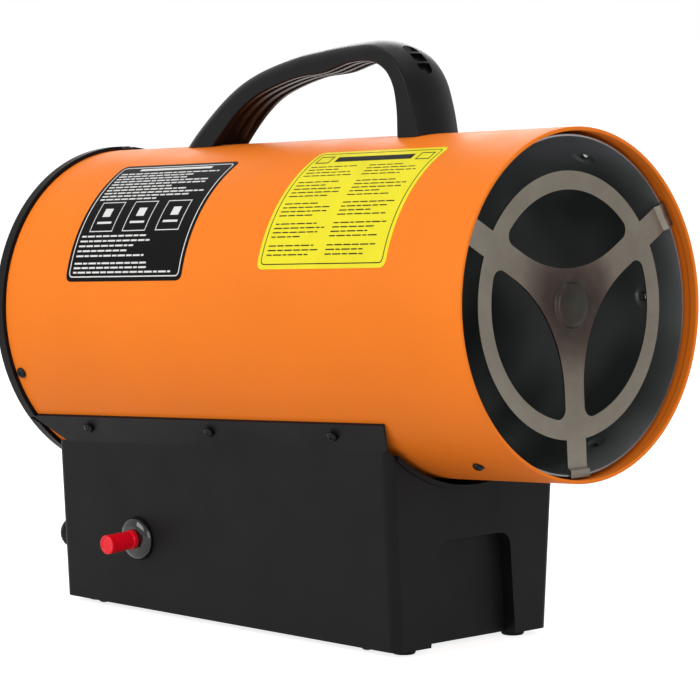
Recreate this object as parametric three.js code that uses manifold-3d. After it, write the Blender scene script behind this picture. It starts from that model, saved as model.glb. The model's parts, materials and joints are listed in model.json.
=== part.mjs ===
// Portable forced air gas heater, in millimetres.
// Warm air leaves along +X, the feet stand on z = 0, and the gas button is on the -Y side.
// The shell, the burner and the fan share one axis, which rises a little towards the outlet.

import * as THREE from 'three';
import { mergeVertices } from 'three/addons/utils/BufferGeometryUtils.js';
import Module from 'manifold-3d';

const wasm = await Module();
wasm.setup();

// ---------------------------------------------------------------- driving dimensions

// Clearances
const fit = 0.3;
const overrun = 1;

// Outer shell, a rolled sheet tube; x on it is measured from its middle
const shellRadius = 100;
const shellLength = 388.6;
const shellWall = 1.2;
const hemWidth = 5;
const hemThickness = 1.1;
const noseUp = 3.55;
const axisHeight = 188.2;
const pipeHoleRadius = 5;

// Base housing, a pressed tub that is open at the top
const baseFrontReach = 110.3;
const baseRearReach = 182.1;
const baseHalfWidth = 63.8;
const baseDraft = 3.5;
const baseWall = 1.8;
const baseCorner = 6;
const saddleGap = 5;
const saddleLipHeight = 1.8;
const saddleLipReach = 1.2;
const lipWidth = 9;
const lipHeight = 2.5;

// Flanges that carry the shell
const flangeAngle = 38;
const flangeThickness = 1.8;
const flangeFrontReach = 112;
const flangeRearReach = 198;
const flangeScrewPlaces = [-147, -37, 68];
const flangeScrewAngle = 42;

// Recess in the front of the base
const recessHeight = 61;
const recessHalfWidthBottom = 35.5;
const recessHalfWidthTop = 30;
const recessCorner = 9;
const recessDepth = 9;

// Base plate and feet
const plateThickness = 1.8;
const plateSeat = 0.4;
const footRadius = 7;
const footHeight = 3.4;
const footInsetX = 12;
const footInsetY = 18;
const footStemRadius = 2.4;
const footStemReach = 2.5;
const footBarbWidth = 1.2;
const footBevel = 0.7;
const plateScrewInsetX = 30;

// Handle, an arch along the top of the shell; rise is how far its middle lies above the shell
const handleStations = [
  { x: -114, rise: -12, thickness: 18, halfWidth: 15 },
  { x: -102, rise: 0, thickness: 17, halfWidth: 15 },
  { x: -75, rise: 22.2, thickness: 13.3, halfWidth: 14.5 },
  { x: -54.7, rise: 33, thickness: 11.3, halfWidth: 14 },
  { x: -18.8, rise: 42.2, thickness: 10.3, halfWidth: 14 },
  { x: 5, rise: 44.5, thickness: 11.2, halfWidth: 14 },
  { x: 30, rise: 48, thickness: 8, halfWidth: 14.5 },
  { x: 50, rise: 47.6, thickness: 8.2, halfWidth: 15.5 },
  { x: 64.3, rise: 41.4, thickness: 9.8, halfWidth: 16.5 },
  { x: 72.8, rise: 30.5, thickness: 11, halfWidth: 17.5 },
  { x: 76.7, rise: 15.5, thickness: 12.8, halfWidth: 18 },
  { x: 78, rise: 0, thickness: 15.8, halfWidth: 18 },
  { x: 78.5, rise: -12, thickness: 17, halfWidth: 18 },
];
const handleCrown = 4;
const handleEdge = 2;
const gripGrooveCount = 3;
const gripGrooveWidth = 4.5;
const gripGrooveDepth = 1.6;
const gripGrooveStart = 0.1;
const gripGrooveEnd = 0.62;
const handleVentLength = 23;
const handleVentWidth = 10;
const handleVentDepth = 3.2;
const handleVentPlace = 0.66;
const handleVentBarCount = 2;
const handleVentBarWidth = 1.4;
const handleScrewInset = 1;
const handleScrewLength = 13;

// Combustion chamber and its front guard
const chamberGap = 2.8;
const chamberWall = 1;
const chamberFrontInset = 8.7;
const chamberLength = 196;
const chamberConeLength = 25;
const chamberRearRadius = 70;
const chamberLipWidth = 14;
const dimpleCount = 6;
const dimpleInset = 38.4;
const dimpleRadius = 7;
const dimpleTopRadius = 5.6;
const rearSpacerCount = 3;
const rearSpacerInset = 14;
const rivetRadius = 2.7;
const rivetCrownRadius = 1.7;
const rivetHeight = 1.6;
const guardRingOuter = 75.7;
const guardRingInner = 65;
const guardThickness = 1.2;
const guardInset = 9.5;
const guardSpokeWidth = 16;
const guardHubRadius = 21;
const guardCornerRadius = 6;
const guardBendInset = 4.5;
const guardLugHeight = 2.3;
const guardDomeRadius = 13.2;
const guardDomeHeight = 3;
const guardDomeTopRadius = 6;
const guardDishRadius = 11.2;
const guardDishTopRadius = 9.2;

// Burner
const burnerPlateThickness = 1.5;
const burnerHoleCount = 6;
const burnerHoleRadius = 6;
const burnerHoleCircle = 42;
const burnerNeckRadius = 17;
const burnerNeckLength = 18;
const burnerMouthRadius = 46;
const burnerConeLength = 34;
const burnerWall = 1.2;
const burnerFootWidth = 4;
const burnerMouthLip = 4;
const cupHoleCount = 6;
const cupHoleRadius = 3.2;
const cupHoleTurn = 20;
const jetRadius = 6;
const jetLength = 22;
const jetTipRadius = 3.3;
const jetTipLength = 3;
const jetBore = 1.6;
const jetNutRadius = 9.6;
const jetNutLength = 6;
const pipeSocketDepth = 4;
const rodRadius = 1.6;
const rodOffset = 27;
const rodLength = 34;
const rodRearReach = 12;
const rodTipLength = 3;
const sleeveLength = 7.7;
const electrodeSleeveRadius = 4;
const thermocoupleSleeveRadius = 4.5;

// Fan and motor
const fanRadius = 84;
const fanHubRadius = 21;
const fanHubLength = 20;
const fanBladeCount = 5;
const fanBladeThickness = 1.8;
const fanBladeEdge = 0.63;
const fanRootChord = 34;
const fanTipChord = 62;
const fanRootPitch = 38;
const fanTipPitch = 20;
const fanCamberRatio = 0.07;
const fanWall = 2;
const fanBossWall = 4;
const fanBossInset = 3;
const shaftRadius = 3;
const motorRadius = 29;
const motorLength = 52;
const motorStackWidth = 62;
const motorStackLength = 22;
const motorStackBevel = 11.2;
const motorBossWall = 5;
const motorBossLength = 3;
const motorShoulderRadius = 21.8;
const motorShoulderLength = 6;
const motorShoulderFrontLength = 3;
const fanGap = 6;
const bracketThickness = 1.5;
const bracketArmWidth = 15;
const bracketHubRadius = 30;
const bearingHoleWall = 4;

// Rear grille
const grilleRimReach = 2.5;
const grilleRimDepth = 7.4;
const grilleChamfer = 1;
const grilleSpigotWall = 3.3;
const grilleSpigotLength = 13;
const grilleRingCount = 5;
const grilleRingWidth = 2.4;
const grilleRingDepth = 2.4;
const grilleSpokeCount = 4;
const grilleSpokeWidth = 3.2;
const grilleSpokeDepth = 4.4;
const grilleHubRadius = 15;
const rearScrewInset = 5.4;
const rearScrewAngles = [90, -20.4, -159.6];

// Screws
const screwRadius = 1.6;
const screwHeadRadius = 3.4;
const screwCrownRadius = 2.6;
const screwHeadHeight = 2.2;
const flangeScrewGap = 0.1;
const rearScrewGrip = 1;
const frontScrewGrip = 2;

// Gas valve and its button
const valveReach = 109;
const valveHeight = 43.7;
const valveNeckRadius = 8;
const valveCollarRadius = 13.4;
const valveCollarDepth = 5.5;
const valveButtonRadius = 6;
const valveButtonReach = 26;
const valveButtonBevel = 1.2;
const valveStemRadius = 3;
const valveTravel = 6;
const valveBodyRadius = 12;
const valveBodyLength = 34;
const valveBodyEndRadius = 8.4;
const valveBodyChamfer = 4;
const valveCollarRimDepth = 2.5;
const valveCollarFaceRadius = 11.4;
const portWall = 3;
const portHeight = 4;
const pipeRadius = 2.4;
const pipeBend = 9;
const pipeStraight = 6;

// Controls and fittings on the rear of the base
const rearControlHeight = 37;
const glandOffset = -48.5;
const glandRadius = 10.8;
const glandReach = 14;
const glandBore = 4.2;
const glandNeckRadius = 7.8;
const glandNutLength = 4;
const glandNeckLength = 6;
const glandHexLength = 6.3;
const glandCapRadius = 9.9;
const glandCapEndRadius = 7.6;
const glandCapShoulder = 10.5;
const switchOffset = -16;
const switchWidth = 13;
const switchHeight = 21;
const switchTilt = 10;
const switchBezelWidth = 2;
const switchBezelDepth = 1.8;
const switchWall = 1.5;
const switchWellDepth = 7;
const switchBodyDepth = 12;
const rockerFace = 2.4;
const rockerEnd = 3.4;
const rockerEdge = 1.2;
const rockerKeel = 1.5;
const igniterOffset = 12;
const igniterRadius = 5.4;
const igniterReach = 8;
const igniterTravel = 5;
const igniterWall = 2;
const igniterBezelWidth = 2.5;
const igniterBezelDepth = 2.5;
const igniterBezelEdge = 1.2;
const igniterBodyDepth = 26;
const igniterButtonBevel = 1;
const inletOffset = 42;
const inletRadius = 6.5;
const inletReach = 22;
const inletDepth = 16;
const inletBore = 1.5;
const inletNutRadius = 10.4;
const inletNutLength = 6;
const inletBarbCount = 3;
const inletBarbRadius = 5.5;
const inletTailRadius = 4;
const inletTipLength = 1;

// Terminal block and overheat thermostat
const blockLength = 34;
const blockWidth = 16;
const blockHeight = 14;
const blockWayRadius = 2.4;
const blockWayPitch = 10.6;
const thermostatRadius = 8;
const thermostatLength = 8;
const thermostatBevel = 1;
const thermostatFlangeWidth = 3;
const thermostatFlangeThickness = 2;
const thermostatLift = 25;
const bladeLength = 7;
const bladeWidth = 6;
const bladeThickness = 0.8;
const bladeSpacing = 6;

// Facets
const tubeSides = 44;
const roundSides = 12;
const footSides = 8;
const coneSides = 16;
const smallSides = 8;
const holeSides = 6;
const arcSteps = 10;
const cornerSteps = 4;
const crownSteps = 4;
const handleSteps = 20;
const bladeStations = 4;
const bladeSteps = 4;
const gasPipeSteps = 24;
const inletPipeSteps = 16;

// ---------------------------------------------------------------- sizes that follow

const degree = Math.PI / 180;
const slope = Math.tan(noseUp * degree);
const shellInner = shellRadius - shellWall;
const shellFront = shellLength / 2;
const shellRear = -shellLength / 2;
const saddleRadius = shellRadius + saddleGap;
const handleScrewPlaces = [handleStations[1].x + handleScrewInset, handleStations.at(-2).x];
const grilleRimRadius = shellRadius + grilleRimReach;
const chamberRadius = shellInner - chamberGap;
const guardBendRadius = chamberRadius - chamberWall - guardBendInset;
const grilleFront = shellRear - fit;
const grilleRear = grilleFront - grilleRimDepth;
const chamberFront = shellFront - chamberFrontInset;
const chamberConeFront = chamberFront - chamberLength;
const chamberRear = chamberConeFront - chamberConeLength;
const dimplePlace = shellFront - dimpleInset;
const shellFlat = shellInner * Math.cos(Math.PI / tubeSides);
const spacerTop = Math.sqrt((shellFlat - fit) ** 2 - dimpleTopRadius ** 2);
const rearScrewPlace = shellRear + rearScrewInset;
const spigotOuter = shellInner - fit;
const spigotInner = spigotOuter - grilleSpigotWall;
const bracketRear = grilleFront + grilleSpigotLength + fit;
const bracketFront = bracketRear + bracketThickness;
const motorRear = bracketFront + fit;
const motorFront = motorRear + motorLength;
const fanRear = motorFront + fanGap;
const fanFront = fanRear + fanHubLength;
const shaftFront = fanFront - fanWall - fit;
const burnerPlateFront = chamberRear - fit;
const burnerPlateRear = burnerPlateFront - burnerPlateThickness;
const jetRear = burnerPlateRear - jetLength / 2;
const plateTop = plateSeat + plateThickness;
const lipBottom = plateTop + fit;
const pipeSocketRadius = (pipeRadius + fit) / Math.cos(Math.PI / smallSides);

// The box of the whole heater is centred on the origin
const frontReach = shellFront * Math.cos(noseUp * degree) + shellRadius * Math.sin(noseUp * degree);
const rearReach = -grilleRear * Math.cos(noseUp * degree) + grilleRimRadius * Math.sin(noseUp * degree);
const originShift = (rearReach - frontReach) / 2;

// ---------------------------------------------------------------- materials

function paint(color, roughness, metalness) {
  return new THREE.MeshStandardMaterial({ color, roughness, metalness });
}

const orangePaint = paint(0xf07c2e, 0.35, 0.1);
const blackPaint = paint(0x26262a, 0.55, 0.1);
const blackPlastic = paint(0x1d1d1f, 0.5, 0);
const chamberEnamel = paint(0x2b3131, 0.3, 0.6);
const brushedSteel = paint(0x97918a, 0.4, 0.9);
const zincSteel = paint(0xa8abad, 0.4, 0.9);
const blackScrew = paint(0x1a1a1c, 0.4, 0.6);
const brass = paint(0xb8933f, 0.35, 0.9);
const copper = paint(0xb0683c, 0.35, 0.9);
const redPlastic = paint(0xe0202c, 0.4, 0);
const rubber = paint(0x151515, 0.9, 0);
const motorSteel = paint(0x6d7073, 0.5, 0.8);
const whiteCeramic = paint(0xe8e4da, 0.5, 0);
const fanPlastic = paint(0x2f3133, 0.5, 0);

// ---------------------------------------------------------------- solids

/** A closed solid from a three.js geometry, with its shared vertices merged. */
function solidFrom(geometry) {
  const bare = geometry.clone();
  bare.deleteAttribute('normal');
  bare.deleteAttribute('uv');
  const merged = mergeVertices(bare, 1e-4);
  const corners = merged.index.array;
  const triangles = [];
  for (let i = 0; i < corners.length; i += 3) {
    const [a, b, c] = [corners[i], corners[i + 1], corners[i + 2]];
    if (a !== b && b !== c && c !== a) triangles.push(a, b, c);
  }
  const vertProperties = new Float32Array(merged.attributes.position.array);
  const build = (order) => {
    const triVerts = new Uint32Array(order);
    return new wasm.Manifold(new wasm.Mesh({ numProp: 3, vertProperties, triVerts }));
  };
  const solid = build(triangles);
  return solid.volume() > 0 ? solid : build(triangles.reverse());
}

/** Joins a list of solids. */
function join(solids) {
  return solids.reduce((sum, next) => sum.add(next));
}

/** Cuts every solid of a list from the first one. */
function cut(solid, tools) {
  return tools.reduce((rest, tool) => rest.subtract(tool), solid);
}

/** A solid of revolution about the X axis; profile points are [radius, x]. */
function latheX(profile, sides = roundSides) {
  const points = profile.map(([radius, x]) => new THREE.Vector2(radius, x));
  return solidFrom(new THREE.LatheGeometry(points, sides).rotateZ(-Math.PI / 2));
}

/** A solid of revolution about the Z axis; profile points are [radius, z]. */
function latheZ(profile, sides = roundSides) {
  const points = profile.map(([radius, z]) => new THREE.Vector2(radius, z));
  return solidFrom(new THREE.LatheGeometry(points, sides).rotateX(Math.PI / 2));
}

/** A round bar along X. */
function barX(radius, from, to, sides = roundSides) {
  return latheX([[0, from], [radius, from], [radius, to], [0, to]], sides);
}

/** A round bar along Z. */
function barZ(radius, from, to, sides = roundSides) {
  return latheZ([[0, from], [radius, from], [radius, to], [0, to]], sides);
}

/** A pipe along X. */
function pipeX(inner, outer, from, to, sides = roundSides) {
  return latheX([[inner, from], [outer, from], [outer, to], [inner, to], [inner, from]], sides);
}

/** A box between two corners. */
function box([x0, y0, z0], [x1, y1, z1]) {
  const geometry = new THREE.BoxGeometry(x1 - x0, y1 - y0, z1 - z0);
  return solidFrom(geometry.translate((x0 + x1) / 2, (y0 + y1) / 2, (z0 + z1) / 2));
}

/** A flat shape, drawn in y and z, made solid from one x to another. */
function extrudeX(shape, from, to, curveSegments = 6) {
  const geometry = new THREE.ExtrudeGeometry(shape, { depth: to - from, bevelEnabled: false, curveSegments });
  const turn = new THREE.Matrix4().makeBasis(
    new THREE.Vector3(0, 1, 0), new THREE.Vector3(0, 0, 1), new THREE.Vector3(1, 0, 0));
  return solidFrom(geometry.applyMatrix4(turn).translate(from, 0, 0));
}

/** A flat shape, drawn in x and z, made solid from one y to another. */
function extrudeY(shape, from, to, curveSegments = 6) {
  const geometry = new THREE.ExtrudeGeometry(shape, { depth: to - from, bevelEnabled: false, curveSegments });
  const turn = new THREE.Matrix4().makeBasis(
    new THREE.Vector3(1, 0, 0), new THREE.Vector3(0, 0, 1), new THREE.Vector3(0, -1, 0));
  return solidFrom(geometry.applyMatrix4(turn).translate(0, to, 0));
}

/** A skin through rings of points that all follow one flat section, closed at both ends. */
function loft(rings, section) {
  const count = section.length;
  const positions = rings.flat().flatMap((point) => [point.x, point.y, point.z]);
  const index = [];
  for (let ring = 0; ring < rings.length - 1; ring += 1) {
    for (let i = 0; i < count; i += 1) {
      const next = (i + 1) % count;
      const [a, b] = [ring * count + i, ring * count + next];
      index.push(a, b, b + count, a, b + count, a + count);
    }
  }
  const last = (rings.length - 1) * count;
  for (const [a, b, c] of THREE.ShapeUtils.triangulateShape(section, [])) {
    index.push(c, b, a, last + a, last + b, last + c);
  }
  const geometry = new THREE.BufferGeometry();
  geometry.setAttribute('position', new THREE.Float32BufferAttribute(positions, 3));
  geometry.setIndex(index);
  return solidFrom(geometry);
}

/** Turns a solid that points along +Z to a place on the tube: x along it, and an angle from +Y. */
function onTube(solid, x, angle) {
  return solid.rotate([angle - 90, 0, 0]).translate([x, 0, 0]);
}

/** Moves a solid from the tube's frame to the base's frame. */
function tubeToBase(solid) {
  return solid.rotate([0, -noseUp, 0]).translate([0, 0, axisHeight]);
}

/** Copies of a solid, turned about the X axis in equal steps. */
function ringX(solid, count, start = 0) {
  return Array.from({ length: count }, (_, i) => solid.rotate([start + (i * 360) / count, 0, 0]));
}

/** A round bar that follows a curve. */
function pipeAlong(points, radius, steps) {
  const path = new THREE.CatmullRomCurve3(points, false, 'centripetal');
  const section = new THREE.Shape().absarc(0, 0, radius, 0, Math.PI * 2);
  return solidFrom(new THREE.ExtrudeGeometry(section, { extrudePath: path, steps, curveSegments: 3 }));
}

/** A screw along Z that points down, with the underside of its tapered head at z = seat. */
function screw(seat, length) {
  const top = seat + screwHeadHeight;
  return latheZ([
    [0, seat - length], [screwRadius, seat - length], [screwRadius, seat], [screwHeadRadius, seat],
    [screwCrownRadius, top], [0, top],
  ], smallSides);
}

/** The hole that such a screw passes, along Z: its flats are clear of the screw. */
function screwHole(from, to) {
  return barZ((screwRadius + fit) / Math.cos(Math.PI / holeSides), from, to, holeSides);
}

// ---------------------------------------------------------------- scene graph

const heater = new THREE.Group();
const base = new THREE.Group();
const tube = new THREE.Group();
base.position.set(originShift, 0, footHeight);
tube.position.set(0, 0, axisHeight);
tube.rotation.y = -noseUp * degree;
heater.add(base);
base.add(tube);

/** Adds a solid to a group as a named mesh. */
function place(group, name, solid, material) {
  const { vertProperties, triVerts, numProp } = solid.getMesh();
  const geometry = new THREE.BufferGeometry();
  geometry.setAttribute('position', new THREE.BufferAttribute(new Float32Array(vertProperties), numProp));
  geometry.setIndex(new THREE.BufferAttribute(new Uint32Array(triVerts), 1));
  const mesh = new THREE.Mesh(geometry, material);
  geometry.computeVertexNormals();
  mesh.name = name;
  group.add(mesh);
  return mesh;
}

// ---------------------------------------------------------------- outer shell

/** Holes for the six flange screws, as places and angles on the tube. */
const flangeScrews = [];
for (const side of [-1, 1]) {
  for (const x of flangeScrewPlaces) {
    flangeScrews.push({ x, angle: side < 0 ? -180 + flangeScrewAngle : -flangeScrewAngle, side });
  }
}

/** The two lower spacers of the chamber take screws that pass the shell. */
const dimpleAngles = Array.from({ length: dimpleCount }, (_, i) => (i * 360) / dimpleCount);
const frontScrewAngles = dimpleAngles.filter((angle) => Math.sin(angle * degree) < -0.5);
const gasPipePlace = (fanFront + jetRear) / 2;

function outerShell() {
  const hemInner = shellInner - hemThickness;
  const sheet = latheX([
    [shellInner, shellRear], [shellRadius, shellRear], [shellRadius, shellFront - hemThickness],
    [shellRadius - hemThickness / 2, shellFront], [hemInner, shellFront - hemThickness / 2],
    [hemInner, shellFront - hemWidth], [shellInner, shellFront - hemWidth], [shellInner, shellRear],
  ], tubeSides);
  const drill = screwHole(shellInner - 2 * overrun, shellRadius + 2 * overrun);
  const pipeHole = barZ(pipeHoleRadius, shellInner - 3 * overrun, shellRadius + overrun, smallSides);
  const holes = [
    ...rearScrewAngles.map((angle) => onTube(drill, rearScrewPlace, angle)),
    ...frontScrewAngles.map((angle) => onTube(drill, dimplePlace, angle)),
    ...flangeScrews.map(({ x, angle }) => onTube(drill, x, angle)),
    ...handleScrewPlaces.map((x) => onTube(drill, x, 90)),
    onTube(pipeHole, gasPipePlace, -90),
  ];
  return cut(sheet, holes);
}

place(tube, 'outer_shell', outerShell(), orangePaint);

// ---------------------------------------------------------------- base housing

/** Half the width of the tapered base at a height above its bottom edge. */
function baseHalfWidthAt(z) {
  return baseHalfWidth + z * Math.tan(baseDraft * degree);
}

/** A rectangle with round corners, as points. */
function roundedRectangle(x0, x1, halfWidth, corner) {
  const shape = new THREE.Shape();
  shape.absarc(x1 - corner, halfWidth - corner, corner, 0, Math.PI / 2);
  shape.absarc(x0 + corner, halfWidth - corner, corner, Math.PI / 2, Math.PI);
  shape.absarc(x0 + corner, corner - halfWidth, corner, Math.PI, 1.5 * Math.PI);
  shape.absarc(x1 - corner, corner - halfWidth, corner, 1.5 * Math.PI, 2 * Math.PI);
  return shape.extractPoints(2).shape.slice(0, -1);
}

/** A block that follows the base's tapered sides, drawn in from them by an inset. */
function baseBlock(inset, from, to) {
  const corner = Math.max(baseCorner - inset, 1);
  const sections = [from, to].map((z) =>
    roundedRectangle(-baseRearReach + inset, baseFrontReach - inset, baseHalfWidthAt(z) - inset, corner));
  const rings = [from, to].map((z, i) => sections[i].map((point) => new THREE.Vector3(point.x, point.y, z)));
  return loft(rings, sections[0]);
}

/** The recess in the front wall, widened by a margin, from one x to another. */
function recessBlock(margin, from, to) {
  const [top, corner] = [recessHeight + margin, recessCorner + margin];
  const [low, high] = [recessHalfWidthBottom + margin, recessHalfWidthTop + margin];
  const shape = new THREE.Shape();
  shape.moveTo(-low, -overrun);
  shape.lineTo(low, -overrun);
  shape.lineTo(high, top - corner);
  shape.quadraticCurveTo(high, top, high - corner, top);
  shape.lineTo(corner - high, top);
  shape.quadraticCurveTo(-high, top, -high, top - corner);
  return extrudeX(shape, from, to);
}

/** A point on the tube's cross-section. */
function polar(radius, angle) {
  return new THREE.Vector2(radius * Math.cos(angle * degree), radius * Math.sin(angle * degree));
}

/** Where the side wall ends under the tube at an x along it: half width and depth below the axis. */
function wallTop(x) {
  let halfWidth = baseHalfWidth;
  let depth = saddleRadius;
  for (let pass = 0; pass < 8; pass += 1) {
    depth = Math.sqrt(saddleRadius ** 2 - halfWidth ** 2);
    halfWidth = baseHalfWidthAt(axisHeight + x * slope - depth);
  }
  return { halfWidth, depth };
}

/** One flange, from the side wall up to the shell, in the tube's frame; a margin makes it a cutter. */
function flange(side, margin = 0) {
  const contact = side < 0 ? -180 + flangeAngle - margin : -flangeAngle + margin;
  const inner = polar(shellRadius + fit - margin, contact);
  const outer = polar(shellRadius + fit + flangeThickness + margin, contact);
  const ends = [
    { topX: -flangeRearReach - 3 * margin, x: -baseRearReach + baseCorner - 3 * margin },
    { topX: flangeFrontReach + 3 * margin, x: baseFrontReach - baseCorner + 3 * margin },
  ];
  const section = [[0, 0], [1, 0], [1, 1], [0, 1]].map(([x, y]) => new THREE.Vector2(x, y));
  const rings = ends.map(({ topX, x }) => {
    const { halfWidth, depth } = wallTop(x);
    return [
      new THREE.Vector3(topX, inner.x, inner.y),
      new THREE.Vector3(topX, outer.x, outer.y),
      new THREE.Vector3(x, side * (halfWidth + margin), -depth - overrun),
      new THREE.Vector3(x, side * (halfWidth - baseWall - margin), -depth - 2 * overrun),
    ];
  });
  return loft(rings, section);
}

/** Radius of the hole in the side wall that the valve's neck passes. */
const valveHoleRadius = valveNeckRadius + fit;

/** Places a solid that points along +X onto the outer face of the -Y wall, square to it. */
function onValveWall(solid) {
  const wallY = -baseHalfWidthAt(valveHeight);
  return solid.rotate([0, 0, -90]).rotate([baseDraft, 0, 0]).translate([-valveReach, wallY, valveHeight]);
}

/** Places a solid that points along +X onto the outer face of the rear wall, pointing away. */
function onRearWall(solid, y) {
  return solid.rotate([0, 0, 180]).translate([-baseRearReach, y, rearControlHeight]);
}

const igniterNeckRadius = igniterRadius + igniterWall;

/** An upright box along +X, centred on the axis. */
function barBox(from, to, width, height) {
  return box([from, -width / 2, -height / 2], [to, width / 2, height / 2]);
}

function baseHousing() {
  const recess = recessBlock(0, baseFrontReach - recessDepth, baseFrontReach + overrun);
  const outer = baseBlock(0, 0, axisHeight).subtract(recess);
  const hollow = cut(baseBlock(baseWall, -overrun, axisHeight + overrun), [
    recessBlock(baseWall, baseFrontReach - recessDepth - baseWall, baseFrontReach + overrun),
  ]);
  const tubeClearance = tubeToBase(barX(saddleRadius, -shellLength, shellLength, tubeSides));
  const lipInner = saddleRadius - saddleLipHeight;
  const lipRing = tubeToBase(pipeX(lipInner, saddleRadius + overrun, -shellLength, shellLength, tubeSides));
  const lipSlab = box(
    [baseFrontReach - baseWall, -baseHalfWidth, 0],
    [baseFrontReach + saddleLipReach, baseHalfWidth, axisHeight - shellRadius / 2]);
  const shelfEdge = baseHalfWidth - baseWall - lipWidth;
  const shelf = baseBlock(0.5 * baseWall, lipBottom, lipBottom + lipHeight)
    .subtract(box([-baseRearReach, -shelfEdge, 0], [baseFrontReach, shelfEdge, axisHeight]));
  const walls = join([
    cut(outer, [hollow, tubeClearance]),
    lipRing.intersect(lipSlab),
    shelf,
    tubeToBase(flange(-1)),
    tubeToBase(flange(1)),
  ]);
  const through = baseWall + overrun;
  const shelfDrill = screwHole(lipBottom - overrun, lipBottom + lipHeight + overrun);
  const holes = [
    ...flangeScrews.map(({ x, angle }) => {
      return tubeToBase(onTube(screwHole(shellRadius - overrun, flangeSeat(x)), x, angle));
    }),
    ...plateScrews.map(({ x, y }) => shelfDrill.translate([x, y, 0])),
    onValveWall(barX(valveHoleRadius, -through, overrun)),
    onRearWall(barX(glandNeckRadius + fit, -through, overrun), glandOffset),
    onRearWall(barX(inletRadius + fit, -through, overrun), inletOffset),
    onRearWall(barX(igniterNeckRadius + fit, -through, overrun), igniterOffset),
    onRearWall(barBox(-through, overrun, switchWidth + 2 * fit, switchHeight + 2 * fit), switchOffset),
  ];
  return cut(walls, holes);
}

// ---------------------------------------------------------------- base plate and feet

const footPlaces = [];
for (const x of [-baseRearReach + footInsetX, baseFrontReach - footInsetX]) {
  for (const y of [footInsetY - baseHalfWidth, baseHalfWidth - footInsetY]) {
    footPlaces.push({ x, y });
  }
}

const plateScrewY = baseHalfWidth - baseWall - lipWidth / 2;
const plateScrews = [];
for (const x of [-baseRearReach + plateScrewInsetX, baseFrontReach - plateScrewInsetX]) {
  for (const y of [-plateScrewY, plateScrewY]) {
    plateScrews.push({ x, y });
  }
}

function basePlate() {
  const margin = baseWall + fit;
  const recess = recessBlock(margin, baseFrontReach - recessDepth - margin, baseFrontReach + overrun);
  const footHole = barZ(footStemRadius + fit, -overrun, plateTop + overrun, smallSides);
  return cut(baseBlock(margin, plateSeat, plateTop), [
    recess,
    ...footPlaces.map(({ x, y }) => footHole.translate([x, y, 0])),
    ...plateScrews.map(({ x, y }) => screwHole(-overrun, plateTop + overrun).translate([x, y, 0])),
  ]);
}

/** A rubber foot with a stem that snaps through the base plate. */
function foot() {
  const barb = footStemRadius + footBarbWidth;
  const stemTop = plateTop + footStemReach;
  return latheZ([
    [0, -footHeight], [footRadius - footBevel, -footHeight], [footRadius, 2 * footBevel - footHeight],
    [footRadius, plateSeat - fit], [footStemRadius, plateSeat - fit], [footStemRadius, plateTop + fit],
    [barb, plateTop + fit], [footStemRadius, stemTop], [0, stemTop],
  ], footSides);
}

place(base, 'base_housing', baseHousing(), blackPaint);
place(base, 'base_plate', basePlate(), blackPaint);
footPlaces.forEach(({ x, y }, i) => place(base, `foot_${i + 1}`, foot().translate([x, y, 0]), rubber));

/** The plate's screws point up through the plate into the inner lip. */
plateScrews.forEach(({ x, y }, i) => {
  const fastener = screw(-plateSeat + fit, plateTop + lipHeight).rotate([180, 0, 0]);
  place(base, `plate_screw_${i + 1}`, fastener.translate([x, y, 0]), blackScrew);
});

// ---------------------------------------------------------------- handle

/** The handle's centre line as a curve through its stations, with thickness and width along it. */
const handlePoints = handleStations.map(({ x, rise }) => new THREE.Vector3(x, 0, shellRadius + rise));
const handleWidths = handleStations.map(({ thickness, halfWidth }) =>
  new THREE.Vector3(thickness, halfWidth, 0));
const handleCurve = new THREE.CatmullRomCurve3(handlePoints, false, 'centripetal');
const handleSizes = new THREE.CatmullRomCurve3(handleWidths, false, 'centripetal');

/** How deep the grip's grooves are at a place along it, from 0 at its rear foot to 1 at its front foot. */
function grooveDepthAt(place01) {
  const run = (place01 - gripGrooveStart) / (gripGrooveEnd - gripGrooveStart);
  if (run <= 0 || run >= 1) return 0;
  return gripGrooveDepth * Math.min(1, 8 * Math.min(run, 1 - run));
}

/** The handle's section: a crowned top, straight sides and a grooved underside. */
function handleSection(thickness, halfWidth, grooveDepth) {
  const edge = handleEdge;
  const half = thickness / 2;
  const points = [];
  for (let i = 0; i <= crownSteps; i += 1) {
    const across = 1 - (2 * i) / crownSteps;
    points.push(new THREE.Vector2(across * halfWidth, half + handleCrown * (1 - across ** 2)));
  }
  points.push(new THREE.Vector2(-halfWidth, edge - half), new THREE.Vector2(edge - halfWidth, -half));
  const pitch = (2 * (halfWidth - edge)) / gripGrooveCount;
  for (let i = 0; i < gripGrooveCount; i += 1) {
    const middle = edge - halfWidth + pitch * (i + 0.5);
    const reach = gripGrooveWidth / 2;
    points.push(
      new THREE.Vector2(middle - reach, -half), new THREE.Vector2(middle - 0.7 * reach, grooveDepth - half),
      new THREE.Vector2(middle + 0.7 * reach, grooveDepth - half), new THREE.Vector2(middle + reach, -half));
  }
  points.push(new THREE.Vector2(halfWidth - edge, -half), new THREE.Vector2(halfWidth, edge - half));
  return points;
}

/** The handle's frame at a place along it: centre, direction and outward normal. */
function handleFrame(place01) {
  const centre = handleCurve.getPoint(place01);
  const along = handleCurve.getTangent(place01);
  const outward = new THREE.Vector3(-along.z, 0, along.x);
  const { x: thickness, y: halfWidth } = handleSizes.getPoint(place01);
  return { centre, along, outward, thickness, halfWidth };
}

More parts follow.
